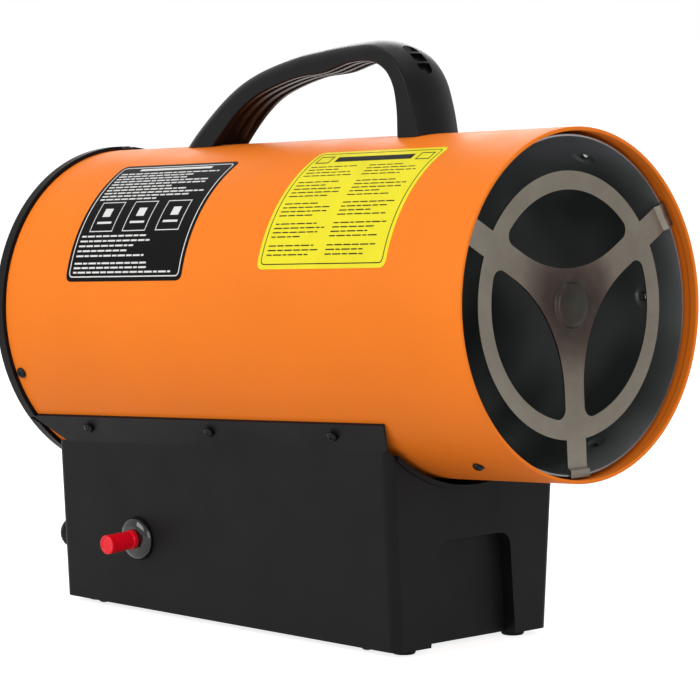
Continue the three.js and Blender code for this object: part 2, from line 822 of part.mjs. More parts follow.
/** The oblong recess near the top of the front leg, with bars left across it. */
function handleVent() {
  const { centre, along, outward, thickness } = handleFrame(handleVentPlace);
  const reach = handleVentLength / 2 - handleVentWidth / 2;
  const top = thickness / 2 + handleCrown;
  const outline = new THREE.Shape();
  outline.absarc(reach, 0, handleVentWidth / 2, -Math.PI / 2, Math.PI / 2);
  outline.absarc(-reach, 0, handleVentWidth / 2, Math.PI / 2, 1.5 * Math.PI);
  const settings = { depth: handleVentDepth + 3 * overrun, bevelEnabled: false, curveSegments: 4 };
  const block = new THREE.ExtrudeGeometry(outline, settings);
  const pocket = solidFrom(block.translate(0, 0, top - handleVentDepth));
  const bars = Array.from({ length: handleVentBarCount }, (_, i) => {
    const middle = handleVentLength * ((i + 1) / (handleVentBarCount + 1) - 0.5);
    return box(
      [middle - handleVentBarWidth / 2, -handleVentWidth, 0],
      [middle + handleVentBarWidth / 2, handleVentWidth, 2 * top]);
  });
  const angle = -Math.atan2(along.z, along.x) / degree;
  return cut(pocket, bars).rotate([0, angle, 0]).translate([centre.x, 0, centre.z]);
}

function handle() {
  const rings = [];
  for (let i = 0; i <= handleSteps; i += 1) {
    const place01 = i / handleSteps;
    const { centre, outward, thickness, halfWidth } = handleFrame(place01);
    const section = handleSection(thickness, halfWidth, grooveDepthAt(place01));
    rings.push(section.map(({ x, y }) =>
      new THREE.Vector3(centre.x + outward.x * y, x, centre.z + outward.z * y)));
  }
  const first = handleFrame(0);
  const arch = loft(rings, handleSection(first.thickness, first.halfWidth, 0));
  const holes = handleScrewPlaces.map((x) =>
    onTube(screwHole(shellInner, shellInner + handleScrewLength + overrun), x, 90));
  const saddle = barX(shellRadius + fit, shellRear, shellFront, tubeSides);
  return cut(arch, [saddle, handleVent(), ...holes]);
}

place(tube, 'handle', handle(), blackPlastic);

/** The handle's screws come up from inside the shell. */
handleScrewPlaces.forEach((x, i) => {
  const fastener = screw(fit - shellInner, handleScrewLength).rotate([180, 0, 0]);
  place(tube, `handle_screw_${i + 1}`, onTube(fastener, x, 90), zincSteel);
});

// ---------------------------------------------------------------- combustion chamber

function combustionChamber() {
  const inner = chamberRadius - chamberWall;
  const rearInner = chamberRearRadius - chamberWall;
  const lipInner = chamberRearRadius - chamberLipWidth;
  const can = latheX([
    [lipInner, chamberRear], [chamberRearRadius, chamberRear], [chamberRadius, chamberConeFront],
    [chamberRadius, chamberFront], [inner, chamberFront], [inner, chamberConeFront],
    [rearInner, chamberRear + chamberWall], [lipInner, chamberRear + chamberWall], [lipInner, chamberRear],
  ], tubeSides);
  const dimple = latheZ([
    [0, inner + 0.3 * chamberWall], [dimpleRadius, inner + 0.3 * chamberWall],
    [dimpleTopRadius, spacerTop], [0, spacerTop],
  ], smallSides);
  const rivet = latheZ([
    [0, inner - rivetHeight], [rivetCrownRadius, inner - rivetHeight], [rivetRadius, inner - rivetHeight / 2],
    [rivetRadius, inner + 0.5 * chamberWall], [0, inner + 0.5 * chamberWall],
  ], smallSides);
  const rearSpacer = dimple.translate([chamberConeFront + rearSpacerInset, 0, 0]);
  const rearSpacers = ringX(rearSpacer, rearSpacerCount, 180 / dimpleCount);
  const riveted = dimpleAngles.filter((angle) => !frontScrewAngles.includes(angle));
  const drill = screwHole(inner - 2 * overrun, spacerTop + overrun);
  return cut(join([
    can,
    ...dimpleAngles.map((angle) => onTube(dimple, dimplePlace, angle)),
    ...riveted.map((angle) => onTube(rivet, dimplePlace, angle)),
    ...rearSpacers,
  ]), frontScrewAngles.map((angle) => onTube(drill, dimplePlace, angle)));
}

place(tube, 'combustion_chamber', combustionChamber(), chamberEnamel);

// ---------------------------------------------------------------- flame guard

/** One of the three openings between the guard's spokes, drawn about the +Y direction. */
function guardOpening() {
  const half = guardSpokeWidth / 2;
  const corner = guardCornerRadius;
  const gap = Math.PI / 3;
  // The two spoke edges meet at this distance from the centre, and a large arc rounds them off.
  const vertex = half / Math.sin(gap);
  const sweep = (guardHubRadius - vertex) / (1 / Math.sin(gap) - 1);
  const tangent = sweep / Math.tan(gap);
  const arcCentre = vertex + sweep / Math.sin(gap);
  const points = [];
  const arc = (cy, cz, radius, from, to, count) => {
    for (let i = 0; i <= count; i += 1) {
      const angle = from + ((to - from) * i) / count;
      points.push(new THREE.Vector2(cy + radius * Math.cos(angle), cz + radius * Math.sin(angle)));
    }
  };
  const cornerRing = guardRingInner - corner;
  const cornerAcross = half + corner;
  const cornerAngle = gap - Math.asin(cornerAcross / cornerRing);
  const [cornerY, cornerZ] = [cornerRing * Math.cos(cornerAngle), cornerRing * Math.sin(cornerAngle)];
  const firstStep = (gap + Math.PI / 2 - cornerAngle) / (cornerSteps + 1);
  arc(0, 0, guardRingInner, -cornerAngle, cornerAngle, arcSteps);
  arc(cornerY, cornerZ, corner, cornerAngle + firstStep, gap + Math.PI / 2, cornerSteps);
  if (tangent + vertex * Math.cos(gap) < cornerRing * Math.cos(gap - cornerAngle)) {
    arc(arcCentre, 0, sweep, gap + Math.PI / 2, 1.5 * Math.PI - gap, arcSteps);
  } else {
    points.push(new THREE.Vector2(guardHubRadius, 0));
  }
  arc(cornerY, -cornerZ, corner, -gap - Math.PI / 2, -cornerAngle - firstStep, cornerSteps);
  return points;
}

/** The outer end of a guard spoke: it steps forward and lies over the chamber's front edge. */
function guardLug(plateFront) {
  const half = guardSpokeWidth / 2;
  const bendEnd = guardBendRadius + guardLugHeight;
  const outer = chamberRadius + 0.5 * (shellInner - hemThickness - chamberRadius);
  const shape = new THREE.Shape();
  shape.moveTo(plateFront - guardThickness, guardRingInner + overrun);
  shape.lineTo(plateFront - guardThickness, guardBendRadius);
  shape.lineTo(plateFront - guardThickness + guardLugHeight, bendEnd);
  shape.lineTo(plateFront - guardThickness + guardLugHeight, outer);
  shape.lineTo(plateFront + guardLugHeight, outer);
  shape.lineTo(plateFront + guardLugHeight, bendEnd);
  shape.lineTo(plateFront, guardBendRadius);
  shape.lineTo(plateFront, guardRingInner + overrun);
  return extrudeY(shape, -half, half);
}

function flameGuard() {
  const plateFront = shellFront - guardInset;
  const plateRear = plateFront - guardThickness;
  const disc = barX(guardRingOuter, plateRear, plateFront, tubeSides);
  const opening = extrudeX(new THREE.Shape(guardOpening()), plateRear - overrun, plateFront + overrun);
  const domeTop = plateFront + guardDomeHeight;
  const dome = latheX([
    [0, plateRear], [guardDomeRadius, plateRear], [guardDomeRadius, plateFront + 0.4 * guardDomeHeight],
    [0.8 * guardDomeRadius, plateFront + 0.85 * guardDomeHeight], [guardDomeTopRadius, domeTop], [0, domeTop],
  ]);
  const dish = latheX([
    [0, plateRear - overrun], [guardDishRadius, plateRear - overrun],
    [guardDishTopRadius, plateFront + 0.3 * guardDomeHeight], [0, plateFront + 0.3 * guardDomeHeight],
  ]);
  const lugs = ringX(guardLug(plateFront), 3, 60);
  return cut(join([cut(disc, ringX(opening, 3, 90)), dome, ...lugs]), [dish]);
}

place(tube, 'flame_guard', flameGuard(), brushedSteel);

// ---------------------------------------------------------------- burner

function burnerPlate() {
  const plate = barX(chamberRearRadius, burnerPlateRear, burnerPlateFront, tubeSides / 2);
  const [from, to] = [burnerPlateRear - overrun, burnerPlateFront + overrun];
  const airHole = barX(burnerHoleRadius, from, to, holeSides);
  const holes = ringX(airHole.translate([0, 0, burnerHoleCircle]), burnerHoleCount, 180 / burnerHoleCount);
  const jetHole = barX(jetRadius + fit, from, to);
  const rodHole = barX(rodRadius + 2 * fit, from, to, smallSides);
  const rodHoles = [-1, 1].map((side) => rodHole.translate([0, side * rodOffset, 0]));
  return cut(plate, [...holes, jetHole, ...rodHoles]);
}

/** The flame cup: a neck that stands on the burner plate and a cone with air holes. */
function burnerCup() {
  const seat = chamberRear + fit;
  const coneStart = seat + burnerNeckLength;
  const mouth = coneStart + burnerConeLength;
  const lip = mouth + burnerMouthLip;
  const foot = burnerNeckRadius + burnerFootWidth;
  const [footRear, footFront] = [burnerPlateFront + fit, burnerPlateFront + fit + burnerWall];
  const neckInner = burnerNeckRadius - burnerWall;
  const mouthInner = burnerMouthRadius - burnerWall;
  const skin = latheX([
    [neckInner, footRear], [foot, footRear], [foot, footFront], [burnerNeckRadius, footFront],
    [burnerNeckRadius, coneStart], [burnerMouthRadius, mouth], [burnerMouthRadius, lip], [mouthInner, lip],
    [mouthInner, mouth + burnerWall / 2], [neckInner, coneStart + burnerWall / 2], [neckInner, footRear],
  ], coneSides);
  const hole = barZ(cupHoleRadius, burnerNeckRadius, burnerMouthRadius, holeSides);
  const holes = ringX(hole.translate([coneStart + burnerConeLength / 2, 0, 0]), cupHoleCount, cupHoleTurn);
  return cut(skin, holes);
}

function gasJet() {
  const front = burnerPlateFront + jetLength / 2;
  const hexEnd = burnerPlateRear - fit;
  const body = latheX([
    [0, jetRear], [jetRadius, jetRear], [jetRadius, front - jetTipLength], [jetTipRadius, front], [0, front],
  ]);
  const hex = barX(jetNutRadius, hexEnd - jetNutLength, hexEnd, 6);
  const bore = barX(jetBore, jetRear - overrun, front + overrun, smallSides);
  const socket = barX(pipeSocketRadius, jetRear - overrun, jetRear + pipeSocketDepth, smallSides);
  return cut(join([body, hex]), [bore, socket]);
}

/** A rod that passes the burner plate beside the cup, with a sleeve behind the plate and a bent tip. */
function burnerRod(side, sleeveRadius) {
  const rear = burnerPlateRear - rodRearReach;
  const front = rear + rodLength;
  const rod = barX(rodRadius, rear, front, smallSides);
  const sleeve = barX(sleeveRadius, burnerPlateRear - fit - sleeveLength, burnerPlateRear - fit, smallSides);
  const tip = box([front - 2 * rodRadius, 0, -rodRadius / 2], [front, rodTipLength, rodRadius / 2]);
  return join([rod, sleeve, side < 0 ? tip : tip.mirror([0, 1, 0])]).translate([0, side * rodOffset, 0]);
}

place(tube, 'burner_plate', burnerPlate(), zincSteel);
place(tube, 'burner_cup', burnerCup(), brushedSteel);
place(tube, 'gas_jet', gasJet(), brass);
place(tube, 'ignition_electrode', burnerRod(-1, electrodeSleeveRadius), whiteCeramic);
place(tube, 'thermocouple', burnerRod(1, thermocoupleSleeveRadius), copper);

// ---------------------------------------------------------------- fan and motor

function motorBracket() {
  const hub = barX(bracketHubRadius, bracketRear, bracketFront, roundSides);
  const tabOuter = spigotInner - fit;
  const tabInner = tabOuter - bracketThickness;
  const arm = box(
    [bracketRear, -bracketArmWidth / 2, bracketHubRadius / 2],
    [bracketFront, bracketArmWidth / 2, shellRadius]);
  const tab = pipeX(tabInner, tabOuter, grilleFront + fit, bracketFront, tubeSides)
    .intersect(box([-shellLength, -bracketArmWidth / 2, 0], [shellLength, bracketArmWidth / 2, shellRadius]));
  const bound = barX(tabOuter, bracketRear, bracketFront, tubeSides);
  const drill = screwHole(tabInner - 2 * overrun, tabOuter + overrun).translate([rearScrewPlace, 0, 0]);
  const branch = cut(join([arm.intersect(bound), tab]), [drill]);
  const bearingHole = barX(shaftRadius + bearingHoleWall, bracketRear - overrun, bracketFront + overrun);
  const branches = rearScrewAngles.map((angle) => branch.rotate([angle - 90, 0, 0]));
  return cut(join([hub, ...branches]), [bearingHole]);
}

function fanMotor() {
  const stackRear = (motorRear + motorFront - motorStackLength) / 2;
  const stackFront = stackRear + motorStackLength;
  const half = motorStackWidth / 2;
  const bevel = motorStackBevel;
  const outline = new THREE.Shape([
    new THREE.Vector2(half, half - bevel), new THREE.Vector2(half - bevel, half),
    new THREE.Vector2(bevel - half, half), new THREE.Vector2(-half, half - bevel),
    new THREE.Vector2(-half, bevel - half), new THREE.Vector2(bevel - half, -half),
    new THREE.Vector2(half - bevel, -half), new THREE.Vector2(half, bevel - half),
  ]);
  const stack = extrudeX(outline, stackRear, stackFront);
  const boss = shaftRadius + motorBossWall;
  const [noseRear, noseFront] = [motorRear + motorBossLength, motorFront - motorBossLength];
  const shoulderFront = noseFront - motorShoulderFrontLength;
  const bells = latheX([
    [0, motorRear], [boss, motorRear], [motorShoulderRadius, noseRear],
    [motorRadius, noseRear + motorShoulderLength], [motorRadius, shoulderFront - motorShoulderLength],
    [motorShoulderRadius, shoulderFront], [boss, noseFront], [boss, motorFront], [0, motorFront],
  ]);
  const bore = barX(shaftRadius + fit, motorRear - overrun, motorFront + overrun);
  return cut(join([stack, bells]), [bore]);
}

/** One twisted blade, from inside the hub out to the tip, along +Z. */
function fanBlade() {
  const root = fanHubRadius - fanWall;
  const middle = (fanRear + fanFront) / 2;
  const rings = [];
  let section = [];
  for (let i = 0; i < bladeStations; i += 1) {
    const out = i / (bladeStations - 1);
    const radius = root + (fanRadius - root) * out;
    const chord = fanRootChord + (fanTipChord - fanRootChord) * Math.sin(out * Math.PI / 2);
    const pitch = (fanRootPitch + (fanTipPitch - fanRootPitch) * out) * degree;
    const upper = [];
    const lower = [];
    for (let j = 0; j <= bladeSteps; j += 1) {
      const run = j / bladeSteps - 0.5;
      const camber = fanCamberRatio * chord * (1 - 4 * run ** 2);
      const skin = (j === 0 || j === bladeSteps ? fanBladeEdge : fanBladeThickness) / 2;
      upper.push(new THREE.Vector2(run * chord, camber + skin));
      lower.unshift(new THREE.Vector2(run * chord, camber - skin));
    }
    section = [...upper, ...lower].map(({ x, y }) => new THREE.Vector2(
      x * Math.sin(pitch) + y * Math.cos(pitch), x * Math.cos(pitch) - y * Math.sin(pitch)));
    // The section wraps round the shaft, so that every blade keeps its radius across the chord.
    rings.push(section.map(({ x, y }) => {
      const turn = y / Math.max(radius, fanHubRadius);
      return new THREE.Vector3(middle + x, -radius * Math.sin(turn), radius * Math.cos(turn));
    }));
  }
  return loft(rings, section);
}

function fan() {
  const bossRadius = shaftRadius + fanBossWall;
  const bossRear = fanRear + fanBossInset;
  const hubInner = fanHubRadius - fanWall;
  const face = fanFront - 2 * fanWall;
  const hub = latheX([
    [0, bossRear], [bossRadius, bossRear], [bossRadius, face], [hubInner, face], [hubInner, fanRear],
    [fanHubRadius, fanRear], [fanHubRadius, fanFront - fanWall], [hubInner, fanFront], [0, fanFront],
  ], coneSides);
  const hollow = barX(hubInner, fanRear - fanHubLength, face, coneSides);
  const blades = ringX(fanBlade().subtract(hollow), fanBladeCount);
  const bore = barX(shaftRadius + fit, fanRear - overrun, shaftFront + fit);
  return cut(join([hub, ...blades]), [bore]);
}

place(tube, 'motor_bracket', motorBracket(), zincSteel);
place(tube, 'fan_motor', fanMotor(), motorSteel);
place(tube, 'motor_shaft', barX(shaftRadius, motorRear + motorBossLength, shaftFront, smallSides), zincSteel);
place(tube, 'fan', fan(), fanPlastic);

// ---------------------------------------------------------------- rear grille

/** The rear grille: a rim that caps the shell, a spigot inside it, and rings on spokes. */
function rearGrille() {
  const spigotEnd = grilleFront + grilleSpigotLength;
  const rim = latheX([
    [spigotInner, grilleRear], [grilleRimRadius - grilleChamfer, grilleRear],
    [grilleRimRadius, grilleRear + grilleChamfer], [grilleRimRadius, grilleFront], [spigotOuter, grilleFront],
    [spigotOuter, spigotEnd], [spigotInner, spigotEnd], [spigotInner, grilleRear],
  ], tubeSides);
  const pitch = (spigotInner - grilleHubRadius) / (grilleRingCount + 1);
  const ringFront = grilleRear + grilleRingDepth;
  const spokeFront = grilleRear + grilleSpokeDepth;
  const rings = Array.from({ length: grilleRingCount }, (_, i) => {
    const middle = grilleHubRadius + pitch * (i + 1);
    const [inner, outer] = [middle - grilleRingWidth / 2, middle + grilleRingWidth / 2];
    return pipeX(inner, outer, grilleRear, ringFront, i < 3 ? coneSides : tubeSides / 2);
  });
  const spoke = box(
    [grilleRear + 0.5 * grilleRingDepth, -grilleSpokeWidth / 2, 0.5 * grilleHubRadius],
    [spokeFront, grilleSpokeWidth / 2, spigotInner + 0.5 * grilleSpigotWall]);
  const hub = latheX([
    [0, grilleRear], [grilleHubRadius - grilleChamfer, grilleRear],
    [grilleHubRadius, grilleRear + grilleChamfer], [grilleHubRadius, spokeFront], [0, spokeFront],
  ]);
  const drill = screwHole(spigotInner - overrun, spigotOuter + overrun);
  const holes = rearScrewAngles.map((angle) => onTube(drill, rearScrewPlace, angle));
  const flangeNotches = [-1, 1].map((side) => flange(side, 2 * fit));
  const spokes = ringX(spoke, grilleSpokeCount, 180 / grilleSpokeCount);
  return cut(join([rim, ...rings, ...spokes, hub]), [...holes, ...flangeNotches]);
}

place(tube, 'rear_grille', rearGrille(), blackPlastic);

// ---------------------------------------------------------------- shell screws

/** A screw through the shell, with its head seated on a surface at a radius. */
function shellScrew(name, x, angle, seat, length) {
  place(tube, name, onTube(screw(seat + fit, length), x, angle), blackScrew);
}

rearScrewAngles.forEach((angle, i) => {
  const grip = shellRadius - (spigotInner - fit - bracketThickness) + rearScrewGrip;
  shellScrew(`rear_screw_${i + 1}`, rearScrewPlace, angle, shellRadius, grip);
});
frontScrewAngles.forEach((angle, i) => {
  const grip = shellRadius - (chamberRadius - chamberWall) + frontScrewGrip;
  shellScrew(`front_screw_${i + 1}`, dimplePlace, angle, shellRadius, grip);
});

/** How far a flange screw's seat lies from the tube's axis, so that its head clears the slanted flange. */
function flangeSeat(x) {
  const { halfWidth, depth } = wallTop(x);
  const top = polar(shellRadius + fit + flangeThickness, -flangeAngle);
  const low = new THREE.Vector2(halfWidth, -depth - overrun);
  const normal = new THREE.Vector2(top.y - low.y, low.x - top.x).normalize();
  const square = Math.abs(polar(1, -flangeScrewAngle).dot(normal));
  return Math.abs(top.dot(normal)) / square + screwHeadRadius * Math.tan(Math.acos(square)) + flangeScrewGap;
}

flangeScrews.forEach(({ x, angle }, i) => {
  const seat = flangeSeat(x);
  shellScrew(`flange_screw_${i + 1}`, x, angle, seat, seat - chamberRadius);
});

// ---------------------------------------------------------------- gas valve, button and pipes

/** The brass valve: a neck through the wall and a body behind it, with two ports. */
function gasValve() {
  const wallInside = -baseWall - fit;
  const bodyEnd = wallInside - valveBodyLength;
  const stemBore = valveStemRadius + fit;
  const neck = barX(valveNeckRadius, wallInside - overrun, valveCollarDepth);
  const body = latheX([
    [0, bodyEnd], [valveBodyEndRadius, bodyEnd], [valveBodyRadius, bodyEnd + valveBodyChamfer],
    [valveBodyRadius, wallInside], [0, wallInside],
  ]);
  const middle = (wallInside + bodyEnd) / 2;
  const portTop = valveBodyRadius + portHeight;
  const topPort = barZ(pipeRadius + portWall, 0, portTop, smallSides).translate([middle, 0, 0]);
  const socket = barZ(pipeSocketRadius, valveBodyRadius, portTop + overrun, smallSides);
  const outlet = socket.translate([middle, 0, 0]);
  const pocket = barX(valveButtonRadius + fit, wallInside - valveTravel - fit, valveCollarDepth + overrun);
  const bore = barX(stemBore, bodyEnd + 2 * pipeSocketDepth, valveCollarDepth, smallSides);
  const inlet = barX(pipeSocketRadius, bodyEnd - overrun, bodyEnd + pipeSocketDepth, smallSides);
  return cut(join([neck, body, topPort]), [pocket, bore, outlet, inlet]);
}

/** The round collar nut on the valve's neck. */
function valveCollar() {
  const inner = valveNeckRadius + fit;
  return latheX([
    [inner, fit], [valveCollarRadius, fit], [valveCollarRadius, valveCollarRimDepth],
    [valveCollarFaceRadius, valveCollarDepth], [inner, valveCollarDepth], [inner, fit],
  ], coneSides);
}

/** The push button: a round cap with a domed end on a stem. */
function valveButton() {
  const capRear = -baseWall - fit;
  const stemEnd = capRear - valveBodyLength / 2;
  const edge = valveButtonReach - valveButtonBevel;
  const face = valveButtonRadius - valveButtonBevel;
  return latheX([
    [0, stemEnd], [valveStemRadius, stemEnd], [valveStemRadius, capRear], [valveButtonRadius, capRear],
    [valveButtonRadius, edge], [face, valveButtonReach], [0, valveButtonReach],
  ]);
}

/** The centre of a solid's local point after it is set on the valve's wall. */
function valvePoint(outward, up) {
  const [lean, rise] = [Math.cos(baseDraft * degree), Math.sin(baseDraft * degree)];
  const y = -baseHalfWidthAt(valveHeight) - outward * lean - up * rise;
  return new THREE.Vector3(-valveReach, y, valveHeight - outward * rise + up * lean);
}

const valveMiddle = -baseWall - fit - valveBodyLength / 2;
const valveEnd = -baseWall - fit - valveBodyLength;

/** A point below the tube's axis, in the base's frame. */
function belowAxis(x, down) {
  const [run, rise] = [Math.cos(noseUp * degree), Math.sin(noseUp * degree)];
  return new THREE.Vector3(x * run + down * rise, 0, axisHeight + x * rise - down * run);
}

/** The pipe from the valve up through the shell to the jet, in the base's frame. */
function gasPipe() {
  const start = valvePoint(valveMiddle, valveBodyRadius + fit);
  const clear = valvePoint(valveMiddle, valveBodyRadius + pipeStraight);
  const rise = valvePoint(valveMiddle, valveBodyRadius + 2 * pipeStraight);
  const entry = belowAxis(gasPipePlace, shellRadius + 2 * pipeStraight);
  const half = new THREE.Vector3((rise.x + entry.x) / 2, rise.y / 2, (rise.z + entry.z + pipeBend) / 2);
  return pipeAlong([
    start, clear, rise, half, entry,
    belowAxis(gasPipePlace, shellRadius - 2 * pipeStraight),
    belowAxis(gasPipePlace, 2 * pipeBend),
    belowAxis(gasPipePlace + 0.3 * pipeBend, 0.7 * pipeBend),
    belowAxis(gasPipePlace + pipeBend, 0),
    belowAxis(jetRear + fit, 0),
  ], pipeRadius, gasPipeSteps);
}

/** The pipe from the rear inlet to the valve, in the base's frame. */
function inletPipe() {
  const from = -baseRearReach + baseWall + inletDepth - pipeSocketDepth + fit;
  const lift = (valveHeight - rearControlHeight) / 4;
  return pipeAlong([
    new THREE.Vector3(from, inletOffset, rearControlHeight),
    new THREE.Vector3(from + pipeStraight, inletOffset, rearControlHeight),
    new THREE.Vector3(from + 2 * pipeStraight, inletOffset, rearControlHeight),
    new THREE.Vector3(-valveReach - 1.5 * pipeBend, inletOffset - 1.5 * pipeBend, rearControlHeight + lift),
    new THREE.Vector3(-valveReach, inletOffset - 4 * pipeBend, valveHeight - lift),
    valvePoint(valveEnd - 2 * pipeStraight, 0),
    valvePoint(valveEnd + fit, 0),
  ], pipeRadius, inletPipeSteps);
}

place(base, 'gas_valve', onValveWall(gasValve()), brass);
place(base, 'valve_collar', onValveWall(valveCollar()), blackPlastic);
place(base, 'valve_button', onValveWall(valveButton()), redPlastic);
place(base, 'gas_pipe', gasPipe(), copper);
place(base, 'inlet_pipe', inletPipe(), copper);

// ---------------------------------------------------------------- rear fittings

/** The cable gland: a hexagon and a round cap outside, a neck through the wall and a nut inside. */
function cableGland() {
  const inside = -baseWall - fit;
  const capRear = glandHexLength - 2 * overrun;
  const nut = barX(glandRadius, inside - glandNutLength, inside, 6);
  const neck = barX(glandNeckRadius, inside - glandNeckLength, capRear);
  const hex = barX(glandRadius, fit, glandHexLength, 6);
  const cap = latheX([
    [0, capRear], [glandCapRadius, capRear], [glandCapRadius, glandCapShoulder],
    [glandCapEndRadius, glandReach], [0, glandReach],
  ], coneSides);
  const bore = barX(glandBore, inside - glandNeckLength - overrun, glandReach + overrun);
  return cut(join([nut, neck, hex, cap]), [bore]);
}

/** The gas inlet: a hexagon against the wall and a ribbed hose end, with its socket inside. */
function gasInlet() {
  const rear = -baseWall - inletDepth;
  const hex = barX(inletNutRadius, fit, inletNutLength, 6);
  const profile = [[0, rear], [inletRadius, rear], [inletRadius, inletNutLength]];
  const pitch = (inletReach - inletTipLength - inletNutLength) / inletBarbCount;
  for (let i = 0; i < inletBarbCount; i += 1) {
    const start = inletNutLength + i * pitch;
    profile.push([inletTailRadius, start], [inletTailRadius, start + 0.3 * pitch]);
    profile.push([inletBarbRadius, start + 0.4 * pitch]);
  }
  profile.push([inletTailRadius - 0.5, inletReach], [0, inletReach]);
  const bore = barX(inletBore, rear, inletReach + overrun, smallSides);
  const socket = barX(pipeSocketRadius, rear - overrun, rear + pipeSocketDepth, smallSides);
  return cut(join([hex, latheX(profile, smallSides)]), [bore, socket]);
}

/** The switch's frame: a bezel outside and a box behind the panel, open for the rocker. */
function switchFrame() {
  const rim = 2 * switchBezelWidth;
  const bezel = barBox(fit, switchBezelDepth, switchWidth + rim, switchHeight + rim);
  const body = barBox(-baseWall - switchBodyDepth, fit + overrun, switchWidth, switchHeight);
  const [wellWidth, wellHeight] = [switchWidth - 2 * switchWall, switchHeight - 2 * switchWall];
  const well = barBox(-switchWellDepth, switchBezelDepth + overrun, wellWidth, wellHeight);
  return cut(join([bezel, body]), [well]);
}

/** The rocker, drawn level: two faces that slope away from the middle, on a round pivot. */
function switchRocker() {
  const half = switchHeight / 2 - switchWall - 2 * fit;
  const reach = switchWidth / 2 - switchWall - fit;
  const shape = new THREE.Shape();
  shape.moveTo(-rockerKeel, -0.55 * half);
  shape.lineTo(rockerEdge, -half);
  shape.lineTo(rockerEnd, -half);
  shape.quadraticCurveTo(rockerFace, -0.3 * half, rockerFace, 0);
  shape.quadraticCurveTo(rockerFace, 0.3 * half, rockerEnd, half);
  shape.lineTo(rockerEdge, half);
  shape.lineTo(-rockerKeel, 0.55 * half);
  return extrudeY(shape, -reach, reach).rotate([0, switchTilt, 0]);
}

const igniterButtonRear = -baseWall - igniterWall;

/** The igniter: a round housing behind the panel with a bezel ring. */
function igniterBody() {
  const outer = igniterNeckRadius + igniterBezelWidth;
  const bezel = latheX([
    [0, fit], [outer, fit], [outer, igniterBezelEdge],
    [outer - igniterBezelEdge, igniterBezelDepth], [0, igniterBezelDepth],
  ]);
  const body = barX(igniterNeckRadius, -baseWall - igniterBodyDepth, overrun);
  const wellRear = igniterButtonRear - igniterTravel - overrun;
  const well = barX(igniterRadius + fit, wellRear, igniterBezelDepth + overrun);
  return cut(join([bezel, body]), [well]);
}

function igniterButton() {
  const [edge, face] = [igniterReach - igniterButtonBevel, igniterRadius - igniterButtonBevel];
  return latheX([
    [0, igniterButtonRear], [igniterRadius, igniterButtonRear], [igniterRadius, edge],
    [face, igniterReach], [0, igniterReach],
  ]);
}

place(base, 'cable_gland', onRearWall(cableGland(), glandOffset), blackPlastic);
place(base, 'gas_inlet', onRearWall(gasInlet(), inletOffset), brass);
place(base, 'switch_frame', onRearWall(switchFrame(), switchOffset), blackPlastic);
place(base, 'switch_rocker', onRearWall(switchRocker(), switchOffset), redPlastic);
place(base, 'igniter_body', onRearWall(igniterBody(), igniterOffset), blackPlastic);
place(base, 'igniter_button', onRearWall(igniterButton(), igniterOffset), blackPlastic);

// ---------------------------------------------------------------- inside the base

/** A terminal block on the base plate, with its clamping holes. */
function terminalBlock() {
  const floor = plateTop + fit;
  const top = floor + blockHeight;
  const block = box([-blockLength / 2, -blockWidth / 2, floor], [blockLength / 2, blockWidth / 2, top]);
  const way = barZ(blockWayRadius, floor + blockHeight / 2, top + overrun, smallSides);
  return cut(block, [-1, 0, 1].map((i) => way.translate([i * blockWayPitch, 0, 0])));
}

/** The overheat cut-out, a disc with two blades, on the back of the burner plate. */
function overheatThermostat() {
  const front = burnerPlateRear - fit;
  const rear = front - thermostatLength;
  const flange = thermostatRadius + thermostatFlangeWidth;
  const disc = latheX([
    [0, rear], [thermostatRadius - thermostatBevel, rear], [thermostatRadius, rear + thermostatBevel],
    [thermostatRadius, front - thermostatFlangeThickness], [flange, front - thermostatFlangeThickness],
    [flange, front], [0, front],
  ]);
  const blade = box(
    [rear - bladeLength, -bladeThickness / 2, -bladeWidth / 2],
    [rear + overrun, bladeThickness / 2, bladeWidth / 2]);
  const blades = [-1, 1].map((side) => blade.translate([0, (side * bladeSpacing) / 2, 0]));
  return join([disc, ...blades]).translate([0, 0, thermostatLift]);
}

place(base, 'terminal_block', terminalBlock(), whiteCeramic);
place(tube, 'overheat_thermostat', overheatThermostat(), brushedSteel);

export default heater;
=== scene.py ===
import json
import math

import bmesh
import bpy
from mathutils import Matrix, Vector
from mathutils.geometry import delaunay_2d_cdt

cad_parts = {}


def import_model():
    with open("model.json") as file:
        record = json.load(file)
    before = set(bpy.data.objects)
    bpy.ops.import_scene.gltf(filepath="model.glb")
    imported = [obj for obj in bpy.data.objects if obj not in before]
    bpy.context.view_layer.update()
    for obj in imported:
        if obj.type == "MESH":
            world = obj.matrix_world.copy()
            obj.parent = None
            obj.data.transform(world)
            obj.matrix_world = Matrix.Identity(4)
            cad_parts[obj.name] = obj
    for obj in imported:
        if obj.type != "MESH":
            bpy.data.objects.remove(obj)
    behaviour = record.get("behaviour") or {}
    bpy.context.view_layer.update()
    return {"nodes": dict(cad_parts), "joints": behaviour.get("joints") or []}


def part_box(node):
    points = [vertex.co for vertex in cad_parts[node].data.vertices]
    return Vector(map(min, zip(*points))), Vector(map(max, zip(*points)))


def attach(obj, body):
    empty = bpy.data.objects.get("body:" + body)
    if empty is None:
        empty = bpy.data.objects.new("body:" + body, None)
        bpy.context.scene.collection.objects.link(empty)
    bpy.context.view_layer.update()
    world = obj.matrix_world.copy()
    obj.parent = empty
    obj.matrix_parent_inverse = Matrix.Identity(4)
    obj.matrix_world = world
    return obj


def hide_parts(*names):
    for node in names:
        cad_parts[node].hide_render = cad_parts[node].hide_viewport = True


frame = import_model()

# ---- sizes, in millimetres

MM = 0.001
FIT = 0.3  # the clearance between pieces
OVERRUN = 1.0  # how far cutters reach past what they cut

